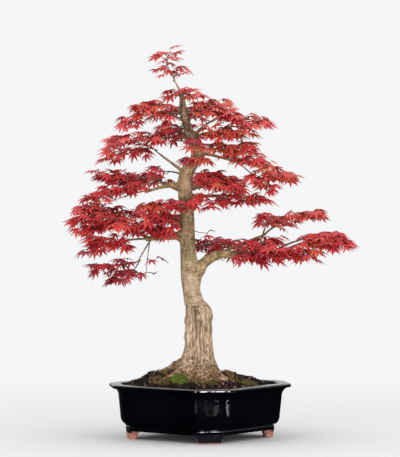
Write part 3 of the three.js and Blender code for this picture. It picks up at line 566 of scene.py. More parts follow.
def chance(seed, step):
    """From 0 to 1, the same each run: the fraction of a large multiple of a sine of both numbers."""
    wave = np.sin(seed * 127.1 + step * 311.7) * 43758.5453
    return wave - np.floor(wave)


def between(limits, share):
    """The value at a share of the way from the first limit to the second."""
    return limits[0] + (limits[1] - limits[0]) * share


def ease(low, high, value):
    """0 below low, 1 above high, and a smooth S between them."""
    share = np.clip((value - low) / (high - low), 0, 1)
    return share * share * (3 - 2 * share)


def noise(points, seed):
    """Smooth noise from 0 to 1: chances at the corners of unit cubes, blended along each axis by an S."""
    cell = np.floor(points)
    share = points - cell
    share = share * share * (3 - 2 * share)
    total = np.zeros(points.shape[:-1])
    for corner in np.ndindex(2, 2, 2):
        key = (cell + corner) @ np.array([1.0, 17.31, 43.77])
        total += chance(seed, key) * np.prod(np.where(corner, share, 1 - share), axis=-1)
    return total


def layers(points, rows):
    """The sum of noises about 0, with a height, width and seed to each."""
    return sum(height * (noise(points / width, seed) - 0.5) for height, width, seed in rows)


# Directions

def unit(vectors):
    """Vectors made one long."""
    return vectors / np.maximum(np.linalg.norm(vectors, axis=-1, keepdims=True), 1e-9)


def once_round(columns):
    """Angles of even steps once round."""
    return np.arange(columns) / columns * 2 * np.pi


def level_way(angle):
    """Level directions at angles from the right."""
    return np.stack([np.cos(angle), np.sin(angle), np.zeros_like(angle)], -1)


def swung(first, second, angle):
    """Directions at an angle from the first towards the second, which stands square to it."""
    return first * np.cos(angle)[..., None] + second * np.sin(angle)[..., None]


def turned(points, angle):
    """Points turned to the left about the vertical."""
    c, s = np.cos(angle), np.sin(angle)
    x, y = points[..., 0], points[..., 1]
    return np.stack([c * x - s * y, s * x + c * y, points[..., 2]], -1)


def on_level(x, y):
    """Points at height 0."""
    return np.stack([x, y, np.zeros_like(x)], -1)


# Meshes from arrays

def grid_faces(rows, columns):
    """Triangles of a grid whose columns close into rings: two to a cell, facing out where rows climb
    and columns turn left."""
    row, column = np.meshgrid(np.arange(rows - 1), np.arange(columns), indexing="ij")
    after = (column + 1) % columns
    a, b = row * columns + column, row * columns + after
    c, d = b + columns, a + columns
    return np.stack([np.stack([a, b, c], -1), np.stack([a, c, d], -1)], 2).reshape(-1, 3)


def closed_grid(rings):
    """Points and triangles of a grid of rings with a fan to the middle of the first and the last ring."""
    rows, columns = rings.shape[:2]
    points = np.concatenate([rings.reshape(-1, 3), rings[:1].mean(1), rings[-1:].mean(1)])
    here = np.arange(columns)
    after = (here + 1) % columns
    first, last = rows * columns, rows * columns + 1
    top = (rows - 1) * columns
    foot = np.stack([np.full(columns, first), after, here], -1)
    head = np.stack([np.full(columns, last), top + here, top + after], -1)
    return points, np.concatenate([grid_faces(rows, columns), foot, head])


def copies(points, faces):
    """Joins equal shapes: points is (copies, points, 3), and each copy's faces are counted on."""
    count, size = points.shape[:2]
    offsets = np.arange(count)[:, None, None] * size
    return points.reshape(-1, 3), (faces[None] + offsets).reshape(-1, 3)


def joined(parts):
    """Joins several (points, faces) into one."""
    counts = np.cumsum([0] + [len(points) for points, _ in parts])
    points = np.concatenate([points for points, _ in parts])
    faces = np.concatenate([faces + start for (_, faces), start in zip(parts, counts)])
    return points, faces


def spokes(heading, across, sides):
    """Directions round a line, from the way across it towards the way that is square to both."""
    above = np.cross(heading, across)
    return swung(across[..., None, :], above[..., None, :], once_round(sides))


def tubes(paths, radii, sides):
    """Round tubes all at once: rings about each station of each path, closed at both ends."""
    heading = unit(np.gradient(paths, axis=1))
    steep = np.abs(heading[..., 2:]).mean(axis=1, keepdims=True) > STEEP
    reference = np.where(steep, [1.0, 0.0, 0.0], UP)
    across = unit(np.cross(heading, reference))
    rings = paths[:, :, None] + spokes(heading, across, sides) * radii[..., None, None]
    _, faces = closed_grid(rings[0])
    points = np.concatenate([rings.reshape(len(paths), -1, 3), paths[:, :1], paths[:, -1:]], axis=1)
    return copies(points, faces)


def piece(name, shape, foot, material, slot, smooth=True, replaced=(), **attributes):
    """A piece from points in millimetres, measured from foot, and triangles, riding on the part's body."""
    points, faces = shape
    mesh = bpy.data.meshes.new(name)
    mesh.from_pydata(points * MM + foot, [], faces, shade_flat=not smooth)
    for key, values in attributes.items():
        layer = mesh.attributes.new(key, "FLOAT", "POINT")
        layer.data.foreach_set("value", values.astype(np.float32).ravel())
    mesh.materials.append(material)
    made = bpy.data.objects.new(name, mesh)
    bpy.context.scene.collection.objects.link(made)
    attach(made, "root")
    if replaced:
        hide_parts(*replaced)


# Finishes

def shade(red, green, blue):
    """A colour as seen on a screen, from 0 to 255, as the light it stands for."""
    value = np.array([red, green, blue]) / 255
    return (*np.where(value <= 0.04045, value / 12.92, ((value + 0.055) / 1.055) ** 2.4), 1.0)


class Recipe:
    """Nodes in a tree, joined as they are added."""

    def __init__(self, tree):
        self.tree = tree

    def add(self, kind, sockets=None, **settings):
        """A node with its settings and, for each named or numbered socket, a plain value or an output."""
        node = self.tree.nodes.new(kind)
        for key, value in settings.items():
            setattr(node, key, value)
        for socket, value in (sockets or {}).items():
            self.put(value, node.inputs[socket])
        return node

    def put(self, value, socket):
        """Sets a plain value on a socket, or joins an output to it."""
        if hasattr(value, "is_linked"):
            self.tree.links.new(value, socket)
        else:
            socket.default_value = value

    def either(self, share, first, second):
        """One shader, or the other by a share."""
        return self.add("ShaderNodeMixShader", {0: share, 1: first, 2: second}).outputs["Shader"]


class Finish(Recipe):
    """A material and the few node recipes that the finishes share."""

    def __init__(self, name, **sockets):
        self.material = bpy.data.materials.new(name)
        self.material.use_nodes = True
        super().__init__(self.material.node_tree)
        self.shader = self.tree.nodes["Principled BSDF"]
        for socket, value in sockets.items():
            self.shader.inputs[socket.replace("_", " ")].default_value = value

    def spot(self):
        """Object coordinates in metres."""
        return self.add("ShaderNodeTexCoord").outputs["Object"]

    def spread(self, value, low, high):
        """0 where a value is low and 1 where it is high, with a smooth S between them."""
        ends = {"Value": value, "From Min": low, "From Max": high}
        return self.add("ShaderNodeMapRange", ends, interpolation_type="SMOOTHSTEP").outputs["Result"]

    def height(self, low, high):
        """0 at the height low and 1 at the height high, in metres."""
        split = self.add("ShaderNodeSeparateXYZ", {"Vector": self.spot()})
        return self.spread(split.outputs["Z"], low, high)

    def attribute(self, name):
        """A value that the mesh holds at each point."""
        return self.add("ShaderNodeAttribute", attribute_name=name).outputs["Fac"]

    def grain(self, scale, stretch=(1, 1, 1), detail=4.0, roughness=0.6):
        """Cloudy noise at so many features a metre, stretched along each axis."""
        place = self.add("ShaderNodeMapping", {"Vector": self.spot(), "Scale": stretch}).outputs["Vector"]
        values = {"Vector": place, "Scale": scale, "Detail": detail, "Roughness": roughness}
        return self.add("ShaderNodeTexNoise", values).outputs["Fac"]

    def ramp(self, value, *stops):
        """Colours or greys dealt along a value: stops are (place, colour)."""
        node = self.add("ShaderNodeValToRGB", {"Fac": value})
        stop_list = node.color_ramp.elements
        while len(stop_list) < len(stops):
            stop_list.new(1.0)
        for element, (at, colour) in zip(stop_list, stops):
            element.position = at
            element.color = colour if isinstance(colour, tuple) else (colour, colour, colour, 1)
        return node.outputs["Color"]

    def mix(self, share, first, second, blend="MIX"):
        """Mixes two colours; of the node's sockets, these are the first and the two for colours."""
        sockets = {0: share, 6: first, 7: second}
        return self.add("ShaderNodeMix", sockets, data_type="RGBA", blend_type=blend).outputs[2]

    def colour(self, output):
        """Joins an output to the shader's colour."""
        self.put(output, self.shader.inputs["Base Color"])

    def roughness(self, output):
        """Joins an output to the shader's roughness."""
        self.put(output, self.shader.inputs["Roughness"])

    def bump(self, value, depth, strength):
        """Relief too fine for the mesh, depth metres deep."""
        node = self.add("ShaderNodeBump", {"Height": value, "Distance": depth, "Strength": strength})
        self.put(node.outputs["Normal"], self.shader.inputs["Normal"])


def glaze_finish():
    """Blue-black glaze that pools in soft clouds, with a painted highlight: a pale line along the lip's
    edge.
    """
    finish = Finish("black_glaze", Roughness=0.07, IOR=1.52)
    pooled = finish.ramp(finish.grain(14, detail=3), (0.35, shade(1, 1, 4)), (0.7, shade(4, 5, 11)))
    # painted highlight: pale grey along the lip's edge, where the mesh's attribute says
    finish.colour(finish.mix(finish.attribute("thin_glaze"), pooled, shade(128, 122, 122)))
    finish.roughness(finish.ramp(finish.grain(60, detail=5), (0.3, 0.045), (0.75, 0.13)))
    finish.bump(finish.grain(45, detail=2), 0.0012, 0.35)
    return finish.material


def clay_finish():
    """Bare pinkish clay, with glaze where the feet's own attribute says."""
    finish = Finish("bare_clay", Roughness=0.8)
    clay = finish.ramp(
        finish.grain(160, detail=6),
        (0.3, shade(138, 86, 76)), (0.55, shade(178, 122, 108)), (0.8, shade(200, 148, 134)),
    )
    glazed = finish.attribute("glazed")
    finish.colour(finish.mix(glazed, clay, shade(20, 20, 27)))
    finish.roughness(finish.mix(glazed, (0.8, 0.8, 0.8, 1), (0.14, 0.14, 0.14, 1)))
    finish.bump(finish.grain(420, detail=5), 0.0008, 0.5)
    return finish.material


def soil_finish():
    """Dark brown crumbs, darker in damp patches."""
    finish = Finish("dark_soil", Roughness=0.95)
    crumbs = finish.ramp(
        finish.grain(260, detail=8, roughness=0.7),
        (0.3, shade(11, 7, 7)), (0.52, shade(25, 16, 14)), (0.72, shade(50, 35, 29)),
    )
    patches = finish.grain(24, detail=3)
    damp = finish.ramp(patches, (0.4, shade(150, 150, 150)), (0.65, shade(255, 255, 255)))
    finish.colour(finish.mix(1.0, crumbs, damp, "MULTIPLY"))
    finish.bump(finish.grain(520, detail=6, roughness=0.7), 0.0016, 0.9)
    return finish.material


def bark_finish(name, blue=1.0):
    """Tan stock, then the tones above it by height, two of them darker partly as painted shadow under the
    leaves; painted shade in the furrows, a little green, and specks of earth at the foot. A lower share of
    blue makes the tones more yellow."""
    foot = TREE_FOOT[2]
    finish = Finish(name, Roughness=0.85)
    streaks = finish.grain(260, (1, 1, 0.22), detail=8, roughness=0.72)
    bark = finish.ramp(
        streaks, (0.37, shade(116, 90, 68)), (0.5, shade(184, 157, 131)), (0.63, shade(214, 192, 168))
    )
    rings = finish.grain(130, (1, 1, 0.5), detail=8, roughness=0.65)
    mottle = finish.mix(0.34, rings, finish.grain(240, (0.35, 0.35, 1.6), detail=5))
    # two of these tones are darker partly as painted shadow under the leaf masses
    for low, high, *tones in BARK_TONES:
        dark, middle, pale = (shade(*np.array(tone) * [1, 1, blue]) for tone in tones)
        tone = finish.ramp(mottle, (0.4, dark), (0.5, middle), (0.6, pale))
        bark = finish.mix(finish.height(foot + low, foot + high), bark, tone)
    green = finish.ramp(finish.grain(26, detail=6), (0.52, 0.0), (0.66, 0.5))
    bark = finish.mix(green, bark, shade(120, 112, 66))
    # painted shade where the bark's relief is deep; roots also darker all over
    furrow = finish.ramp(finish.attribute("furrow"), (0.15, 0.0), (0.9, 0.9))
    bark = finish.mix(furrow, bark, shade(84, 60, 42))
    earth = finish.ramp(
        finish.grain(210, detail=7, roughness=0.8),
        (0.45, shade(28, 20, 11)), (0.51, shade(122, 90, 60)), (0.57, shade(204, 166, 136)),
    )
    patches = finish.ramp(finish.grain(55, detail=4), (0.48, 0.0), (0.62, 0.7))
    earth = finish.mix(patches, earth, shade(84, 76, 32))
    finish.colour(finish.mix(finish.height(foot + 0.036, foot + 0.010), bark, earth))
    fine = finish.mix(0.5, streaks, finish.grain(700, (1, 1, 0.5), detail=5))
    finish.bump(fine, 0.0014, 0.8)
    finish.roughness(finish.ramp(rings, (0.3, 0.92), (0.75, 0.76)))
    return finish.material


def mottled_finish(name, colour, roughness, scale):
    """One tint, darker and paler in small patches."""
    finish = Finish(name, Roughness=roughness)
    patches = finish.grain(scale, detail=3)
    dark, pale = (shade(*(min(255, int(part * by)) for part in colour)) for by in (0.7, 1.25))
    finish.colour(finish.ramp(patches, (0.36, dark), (0.64, pale)))
    finish.bump(patches, 0.0004, 0.5)
    return finish.material


# Pot

def pot_sides(inset):
    """The ways that the pot's eight sides face before it is turned, and their distances from its axis."""
    number = np.arange(8)
    return number * np.pi / 4, np.where(number % 2, POT_CUT, POT_SIDE / 2) - inset


def pot_outline(inset, arc_steps=7, flat_steps=9):
    """A square with cut corners and rounded edges: each edge's arc about the corner of the outline
    moved in by the arc's radius, and even steps along the flat to the next arc."""
    normal, distance = pot_sides(inset)
    reach = distance - POT_EDGE_ROUND
    after, after_reach = np.roll(normal, -1), np.roll(reach, -1)
    det = np.sin(np.pi / 4)
    x = (reach * np.sin(after) - after_reach * np.sin(normal)) / det
    y = (after_reach * np.cos(normal) - reach * np.cos(after)) / det
    turn = normal[:, None] + np.linspace(0, np.pi / 4, arc_steps)
    arcs = np.stack([x, y], -1)[:, None] + POT_EDGE_ROUND * np.stack([np.cos(turn), np.sin(turn)], -1)
    starts, ends = arcs[:, -1:], np.roll(arcs, -1, axis=0)[:, :1]
    share = np.linspace(0, 1, flat_steps + 1)[1:-1, None]
    flats = starts + (ends - starts) * share
    return np.concatenate([arcs, flats], axis=1).reshape(-1, 2)


def quarter_oval(start, end, upright_first, steps=9):
    """A quarter of an oval from one (inset, height) to another, leaving the first upright or level."""
    angle = np.linspace(0, np.pi / 2, steps)
    early, late = 1 - np.cos(angle), np.sin(angle)
    across, along = (early, late) if upright_first else (late, early)
    start, end = np.array(start, float), np.array(end, float)
    return start + (end - start) * np.stack([across, along], -1)


def pot_profile():
    """(inset, height) from the underside up the outside, over the lip and down to the floor inside."""
    plinth_top = FOOT_HEIGHT + PLINTH_DEPTH
    belly_top = plinth_top + BELLY_DEPTH
    lip_under = POT_HEIGHT - LIP_DEPTH
    cove_foot = lip_under - COVE_DEPTH
    wall_foot = LIP_OVERHANG + WALL_BATTER
    belly_foot = wall_foot + BELLY_INSET
    underside = belly_foot + UNDERSIDE_BEVEL
    inside = LIP_WIDTH + INNER_BATTER
    step = PLINTH_STEP
    parts = [
        [(underside + UNDERSIDE_WIDTH, FOOT_HEIGHT), (underside, FOOT_HEIGHT)],
        quarter_oval((belly_foot + step, FOOT_HEIGHT), (belly_foot, FOOT_HEIGHT + step), False, 5),
        quarter_oval((belly_foot, plinth_top - step), (belly_foot + step, plinth_top), True, 5),
        quarter_oval((belly_foot + step, plinth_top), (belly_foot, plinth_top + step), True, 5),
        quarter_oval((belly_foot, plinth_top + step), (wall_foot, belly_top), False, 11)[1:],
        [(wall_foot - WALL_BATTER / 2, (belly_top + cove_foot) / 2)],
        quarter_oval((LIP_OVERHANG, cove_foot), (LIP_ROUND, lip_under), True, 11),
        quarter_oval((LIP_ROUND, lip_under), (0, lip_under + LIP_ROUND), False, 6)[1:],
        quarter_oval((0, POT_HEIGHT - LIP_ROUND), (LIP_ROUND, POT_HEIGHT), True, 7),
        [(LIP_WIDTH / 2, POT_HEIGHT)],
        quarter_oval((LIP_WIDTH - LIP_ROUND, POT_HEIGHT), (LIP_WIDTH, POT_HEIGHT - LIP_ROUND), False, 7),
        [(LIP_WIDTH + INNER_BATTER / 2, (POT_HEIGHT + POT_FLOOR) / 2), (inside, POT_FLOOR)],
        [(inside + FLOOR_WIDTH, POT_FLOOR)],
    ]
    return np.concatenate([np.array(part, float) for part in parts])


def pot_bowl():
    """The outline carried up the profile, with the slight waves of a hand-finished wall. A painted highlight
    lies in a bell curve about the lip's edge, in patches of noise."""
    profile = pot_profile()
    outlines = np.array([pot_outline(inset) for inset in profile[:, 0]])
    height = np.broadcast_to(profile[:, 1, None], outlines.shape[:2])
    rings = np.concatenate([outlines, height[..., None]], axis=-1)
    rings = rings + unit(rings * [1, 1, 0]) * layers(rings, WALL_WAVES)[..., None]
    # painted highlight along the lip's edge, as a bell curve in patches
    lip = np.exp(-((height - POT_HEIGHT + LIP_LINE_BELOW_TOP) / LIP_LINE_HALF) ** 2)
    lip_highlight_share = lip * noise(rings / LIP_LINE_PATCH, 5.0)
    return closed_grid(turned(rings, POT_TURN)), np.concatenate([lip_highlight_share.ravel(), [0, 0]])


def foot_rows(rows=14, columns=40):
    """One foot as rounded oblongs whose sides sweep in and then down; columns run round each oblong."""
    share = np.linspace(0, 1, rows)[:, None]
    spread = np.where(share < FOOT_SWEEP_END, (share / FOOT_SWEEP_END) ** FOOT_SWEEP_POWER, 1.0)
    across, along = (between(ends, spread) / 2 for ends in zip(FOOT_BOTTOM, FOOT_TOP))
    angle = once_round(columns)
    u, v = (np.sign(part) * np.abs(part) ** FOOT_SQUARENESS for part in (np.cos(angle), np.sin(angle)))
    tuck = 1 - FOOT_TUCK * np.exp(-share / FOOT_TUCK)
    middle = POT_CUT - FOOT_INSET + FOOT_SLIP * (1 - spread)
    x = middle + along * tuck * u
    y = across * tuck * v
    z = np.broadcast_to(share * (FOOT_HEIGHT + FOOT_SINK), x.shape)
    return np.stack([x, y, z], -1)


def pot_feet():
    """Four feet under the cut corners, with worn sides: the front one's outer face is glazed from near
    the ground, the others' only under the bowl."""
    rows = foot_rows()
    out, up = rows[..., 0] - (POT_CUT - FOOT_INSET), rows[..., 2]
    shapes = []
    glazed = []
    for quarter in range(4):
        turn = POT_TURN + (quarter + 0.5) * np.pi / 2
        ring = turned(rows, turn)
        ring = ring + layers(ring, FOOT_WEAR)[..., None] * unit(ring * [1, 1, 0])
        ring[0, :, 2] = 0
        shapes.append(closed_grid(ring))
        waver = FOOT_GLAZE_WAVER * noise(rows / FOOT_GLAZE_PATCH, quarter + 11.0)
        edge = FOOT_GLAZE_OUT + waver - FOOT_GLAZE_CREEP * up
        front, other = FOOT_GLAZE_FROM
        low = front if np.sin(turn) < FACES_FRONT else other
        high = low + FOOT_GLAZE_FADE[0] + FOOT_GLAZE_FADE[1] * low
        cover = ease(edge - FOOT_GLAZE_SOFT, edge + FOOT_GLAZE_SOFT, out) * ease(low, high, up)
        glazed.append(np.concatenate([cover.ravel(), [0, 0]]))
    return joined(shapes), np.concatenate(glazed)


# Soil and what lies on it

def wall_reach(angle, inset):
    """How far from the axis a straight line at an angle meets the pot's wall at an inset: the nearest
    of the sides that it faces."""
    normal, distance = pot_sides(inset)
    facing = np.cos(np.asarray(angle)[..., None] - normal - POT_TURN)
    return np.where(facing > FACING, distance / np.maximum(facing, FACING), np.inf).min(-1)


def soil_inset(height):
    """Inset of the inner wall at a height, with a little room."""
    return LIP_WIDTH + INNER_BATTER * (POT_HEIGHT - height) / (POT_HEIGHT - POT_FLOOR) + SOIL_GAP


def ground(x, y):
    """Height of the soil: level at the wall, rising by a power of the way to the trunk, higher at the
    sides, with moss cushions as round swells, and crumbs as noise."""
    angle = np.arctan2(y, x)
    share = np.hypot(x, y) / wall_reach(angle, soil_inset(SOIL_EDGE))
    way = np.clip((share - SOIL_SHOULDER) / (1 - SOIL_SHOULDER), 0, 1)
    climb = 1 - way ** (SOIL_CLIMB - SOIL_CLIMB_RIGHT * np.cos(angle))
    facings = (np.cos(angle), -np.cos(angle), np.sin(angle))
    right, left, back = (top * np.clip(side, 0, 1) ** 2 for top, side in zip(SOIL_RISES, facings))
    kept = between((SOIL_FRONT_SHARE, 1), ease(*SOIL_FRONT_EASE, np.sin(angle)))
    rise = SOIL_RISE_FRONT + (right + left) * kept + back
    swell = 0
    for at_right, at_back, radius, height, _, _ in MOSSES:
        away = ((x - at_right) ** 2 + (y - at_back) ** 2) / (MOSS_SWELL * radius) ** 2
        swell = swell + MOSS_SWELL * height * np.exp(-away)
    relief = rise * climb + layers(on_level(x, y), SOIL_CRUMBS)
    return SOIL_EDGE + relief * ease(*SOIL_EDGE_FADE, share) + swell


def soil_mound(columns=240, rows=70):
    """The soil's top as rings from the wall in to the axis, over a skirt down to the pot's floor."""
    angle = once_round(columns)
    share = np.linspace(1, 0.03, rows)[:, None]
    reach = share * wall_reach(angle, soil_inset(SOIL_EDGE))
    x, y = reach * np.cos(angle), reach * np.sin(angle)
    top = np.stack([x, y, ground(x, y)], -1)
    low = POT_FLOOR + SOIL_GAP
    foot = wall_reach(angle, soil_inset(low))[:, None] * level_way(angle) + UP * low
    return closed_grid(np.concatenate([foot[None], top]))


def flare_share(angle):
    """The root flare at an angle as a share of its mean: ridges for the roots, and wider at the left."""
    left = np.clip(-np.cos(angle), 0, 1) ** 3
    return 1 + ROOT_RIDGE * np.cos(ROOT_COUNT * angle + ROOT_TURN) + ROOT_LEFT * left


def flare(height):
    """The mean root flare at a height above the trunk's foot, less by the same share each mm."""
    return ROOT_FLARE * np.exp(-height / ROOT_FLARE_HEIGHT)


def flare_reach(angle, height):
    """Radius of the trunk with its root flare at a height above its foot, as in the solids."""
    _, radius = trunk_at(height)
    return radius + flare(height) * flare_share(angle)


def outside_trunk(x, y, room):
    """True where a point of the soil lies clear of the trunk's foot."""
    above_foot = np.maximum(ground(x, y) - TREE_FOOT[2] / MM, 0)
    centre, _ = trunk_at(above_foot)
    dx, dy = x - centre[..., 0], y - centre[..., 1]
    return np.hypot(dx, dy) > flare_reach(np.arctan2(dy, dx), above_foot) + room


def turned_at_random(points, seed, count):
    """Copies of a small shape, each turned about a random axis: what lies along the axis stays, and the
    rest swings round it."""
    step = np.arange(count)
    z = 2 * chance(seed, step + 0.1) - 1
    around = 2 * np.pi * chance(seed, step + 0.2)
    flat = np.sqrt(1 - z * z)
    axis = np.stack([flat * np.cos(around), flat * np.sin(around), z], -1)[:, None]
    angle = (2 * np.pi * chance(seed, step + 0.3))[:, None]
    along = (points * axis).sum(-1, keepdims=True) * axis
    return swung(points, np.cross(axis, points), angle) + along * (1 - np.cos(angle))[..., None]


def grain_shape():
    """A twenty-sided crumb: the corners of three golden oblongs, with faces where three corners are near."""
    golden = (1 + np.sqrt(5)) / 2
    corners = np.array([(0, a, b * golden) for a in (-1, 1) for b in (-1, 1)])
    corners = unit(np.concatenate([np.roll(corners, turn, axis=1) for turn in range(3)]).astype(float))
    near = (corners @ corners.T) > 0.4
    threes = [(i, j, k) for i in range(12) for j in range(i) for k in range(j)]
    faces = np.array([three for three in threes if near[np.ix_(three, three)].all()])
    a, b, c = (corners[faces[:, corner]] for corner in range(3))
    inward = (np.cross(b - a, c - a) * a).sum(-1) < 0
    faces[inward] = faces[inward][:, ::-1]
    return corners, faces


def soil_grains(count, seed):
    """Crumbs strewn over the soil: place by chance and even over the area, size by the cube of a chance."""
    step = np.arange(count)
    angle = 2 * np.pi * chance(seed, step)
    widest = wall_reach(angle, soil_inset(SOIL_EDGE) + GRIT_ROOM)
    reach = np.sqrt(between(GRIT_BAND, chance(seed, step + 0.4))) * widest
    x, y = reach * np.cos(angle), reach * np.sin(angle)
    keep = outside_trunk(x, y, -GRIT_OVER_ROOTS)
    for at_right, at_back, radius, *_ in MOSSES:
        keep &= np.hypot(x - at_right, y - at_back) > GRIT_OFF_MOSS * radius
    x, y, step = x[keep], y[keep], step[keep]
    size = between(GRIT_SIZES, chance(seed, step + 0.6) ** 3)
    corners, faces = grain_shape()
    uneven = between(GRIT_UNEVEN, chance(seed + 3, step[:, None] * 12 + np.arange(12)))
    squash = between(GRIT_SQUASH, chance(seed + 5, step[:, None, None] * 3 + np.arange(3)))
    crumbs = turned_at_random(corners * uneven[..., None] * squash, seed + 7, len(step))
    middle = np.stack([x, y, ground(x, y) + GRIT_PROUD * size], -1)
    return copies(middle[:, None] + crumbs * size[:, None, None], faces)


def moss_spikes(x, y, tall, lean, swing, bark=0):
    """Small three-sided spikes on the soil, or on bark above it, leaning by a share of their height to
    an angle."""
    spike = np.array([(1, 0, 0), (-0.5, 0.87, 0), (-0.5, -0.87, 0), (0, 0, 1)])
    faces = np.array([(0, 1, 3), (1, 2, 3), (2, 0, 3), (0, 2, 1)])
    tip = (lean[:, None] * level_way(swing) + UP) * tall[:, None]
    foot = np.stack([x, y, np.maximum(ground(x, y), bark) - MOSS_SINK], -1)
    corners = foot[:, None] + spike[None] * [MOSS_BLADE, MOSS_BLADE, 0]
    corners[:, 3] += tip
    return copies(corners, faces)


def moss_blades(bright):
    """Spikes over each cushion, leaning out from its middle and thinning out to its edge, in clumps of
    two tints."""
    shapes = []
    for number, (at_right, at_back, radius, _, blades, share) in enumerate(MOSSES):
        seed = 31 + 2 * number + bright
        step = np.arange(blades)
        angle = 2 * np.pi * chance(seed, step)
        edge = np.sqrt(chance(seed, step + 0.3)) * MOSS_SPREAD
        x, y = at_right + radius * edge * np.cos(angle), at_back + radius * edge * np.sin(angle)
        flat = on_level(x, y)
        clump = noise(flat / MOSS_CLUMP, 24.0) + MOSS_STRAY * (chance(seed, step + 0.9) - 0.5)
        full = noise(flat / MOSS_GAP, 25.0) > between(MOSS_THINS, edge**3)
        keep = outside_trunk(x, y, -MOSS_OVER_ROOTS) & ((clump < MOSS_BRIGHT * share) == bright) & full
        x, y, angle, edge, step = (values[keep] for values in (x, y, angle, edge, step))
        tall = between(MOSS_HEIGHTS, chance(seed, step + 0.5)) * (1 - MOSS_LOWERS * edge)
        lean = between(MOSS_LEANS, chance(seed, step + 0.7))
        swing = angle + MOSS_SWING * (chance(seed, step + 0.8) - 0.5)
        shapes.append(moss_spikes(x, y, tall, lean, swing))
    return joined(shapes)


def foot_moss(count, seed):
    """Spikes round the trunk's foot, thickest at its left and front, leaning in against the bark."""
    step = np.arange(count)
    angle = np.radians(between(FOOT_MOSS_ARC, chance(seed, step) ** FOOT_MOSS_CROWD))
    away = FOOT_MOSS_OUT * chance(seed, step + 0.3) ** 2
    up = FOOT_MOSS_UP * chance(seed, step + 0.4) ** 2
    reach = flare_reach(angle, up) + away * (up < FOOT_MOSS_ON_BARK) - FOOT_MOSS_SINK
    centre, _ = trunk_at(up)
    x, y = centre[:, 0] + reach * np.cos(angle), centre[:, 1] + reach * np.sin(angle)
    clumps = noise(on_level(x, y) / FOOT_MOSS_CLUMP, 23.0)
    gaps = FOOT_MOSS_GAPS[0] + FOOT_MOSS_GAPS[1] * up
    keep = outside_trunk(x, y, -FOOT_MOSS_OVER_ROOTS) & (clumps > gaps)
    x, y, angle, away, step, up = (values[keep] for values in (x, y, angle, away, step, up))
    tall = between(FOOT_MOSS_HEIGHTS, chance(seed, step + 0.5)) * (1 - away / FOOT_MOSS_LOWERS)
    lean = between(FOOT_MOSS_LEANS, chance(seed, step + 0.7))
    bark = np.where(up < FOOT_MOSS_ON_BARK, 0, up + TREE_FOOT[2] / MM)
    swing = angle + np.pi + MOSS_SWING * (chance(seed, step + 0.8) - 0.5)
    return moss_spikes(x, y, tall, lean, swing, bark)


# Trunk

def smooth_line(stations, share):
    """Cubics through even stations, each sloping as its neighbours lie; the ends run on straight."""
    ends = np.concatenate([2 * stations[:1] - stations[1:2], stations, 2 * stations[-1:] - stations[-2:-1]])
    place = np.clip(share, 0, 1) * (len(stations) - 1)
    first = np.minimum(place.astype(int), len(stations) - 2)
    w = (place - first)[:, None]
    p0, p1, p2, p3 = (ends[first + step] for step in range(4))
    bend = 2 * p0 - 5 * p1 + 4 * p2 - p3
    turn = 3 * p1 - p0 - 3 * p2 + p3
    return p1 + 0.5 * w * (p2 - p0 + w * (bend + w * turn))


TRUNK_LINE = smooth_line(TRUNK, np.linspace(0, 1, 2000))


def trunk_at(height):
    """The trunk's middle and radius at heights above its foot."""
    values = [np.interp(height, TRUNK_LINE[:, 0], TRUNK_LINE[:, column]) for column in (1, 2, 3)]
    return np.stack([values[0], values[1], np.asarray(height, float)], -1), values[2]


def on_skin(angle, height, wide, tall, skin, seed):
    """Noise on the trunk's skin with features so wide and so tall, with no seam."""
    spot = [np.cos(angle) * skin / wide, np.sin(angle) * skin / wide, height / tall]
    return noise(np.stack(spot, -1), seed)


def crease(value, sharp):
    """Thin lines where noise passes its middle value."""
    return (1 - np.abs(2 * value - 1)) ** sharp


def oval(angle, height, at_angle, at_height, half_width, half_height, skin):
    """1 at the middle of an oval on the skin, falling to 0 round it by a steep bell curve."""
    turn = np.angle(np.exp(1j * (angle - np.radians(at_angle))))
    return np.exp(-(((turn * skin / half_width) ** 2 + ((height - at_height) / half_height) ** 2) ** 1.5))


def ovals(angle, height, rows):
    """The sum of ovals, each with a depth before its place and size."""
    return sum(depth * oval(angle, height, *place) for depth, *place in rows)


def zone(name, height):
    """From 0 to 1, how far a zone of the bark has set in at a height."""
    return ease(*BARK_ZONES[name], height)


def bark_depth(angle, height):
    """How far the bark falls in: the sum of the zones' creases and grain, a bell-shaped seam that
    wavers round the graft, and rings round the burr."""
    amount, *features = BARK_TWIST
    twist = angle + amount * on_skin(angle, height, *features)
    depth = np.zeros_like(height)
    for name, twisted, deep, wide, tall, skin, sharp, seed in BARK_CREASES:
        lines = crease(on_skin(twist if twisted else angle, height, wide, tall, skin, seed), sharp)
        depth += zone(name, height) * deep * lines
    for name, deep, *features in BARK_GRAIN:
        depth += zone(name, height) * deep * on_skin(angle, height, *features)
    amount, *features = SEAM_WAVER
    waver = amount * (on_skin(angle, height, *features) - 0.5)
    seam = GRAFT + SEAM_SLANT[0] * np.sin(angle + SEAM_SLANT[1]) + waver
    open_share = ease(*SEAM_OPEN, on_skin(angle, height, *SEAM_GAPS))
    depth += SEAM_DEPTH * np.exp(-(((height - seam) / SEAM_HALF) ** 2)) * open_share
    deep, spacing = BURR_RINGS
    return depth + deep * oval(angle, height, *BURR) * crease(height / spacing % 1, 2)


def bark_hollows(angle, height):
    """Hollows in the wood as ovals: the niche and grooves under the graft, pits at the foot, and knots."""
    pits = [(PIT_DEPTH, *pit, FOOT_SKIN) for pit in PITS]
    deep, width, tall = KNOT_HOLLOW
    eyes = [(deep, turn, up, size * width, size * tall, UPPER_SKIN) for turn, up, size in KNOTS]
    rims = [(-KNOT_RAISED, turn, up, size, size, UPPER_SKIN) for turn, up, size in KNOTS]
    return ovals(angle, height, HOLLOWS + pits + eyes + rims)


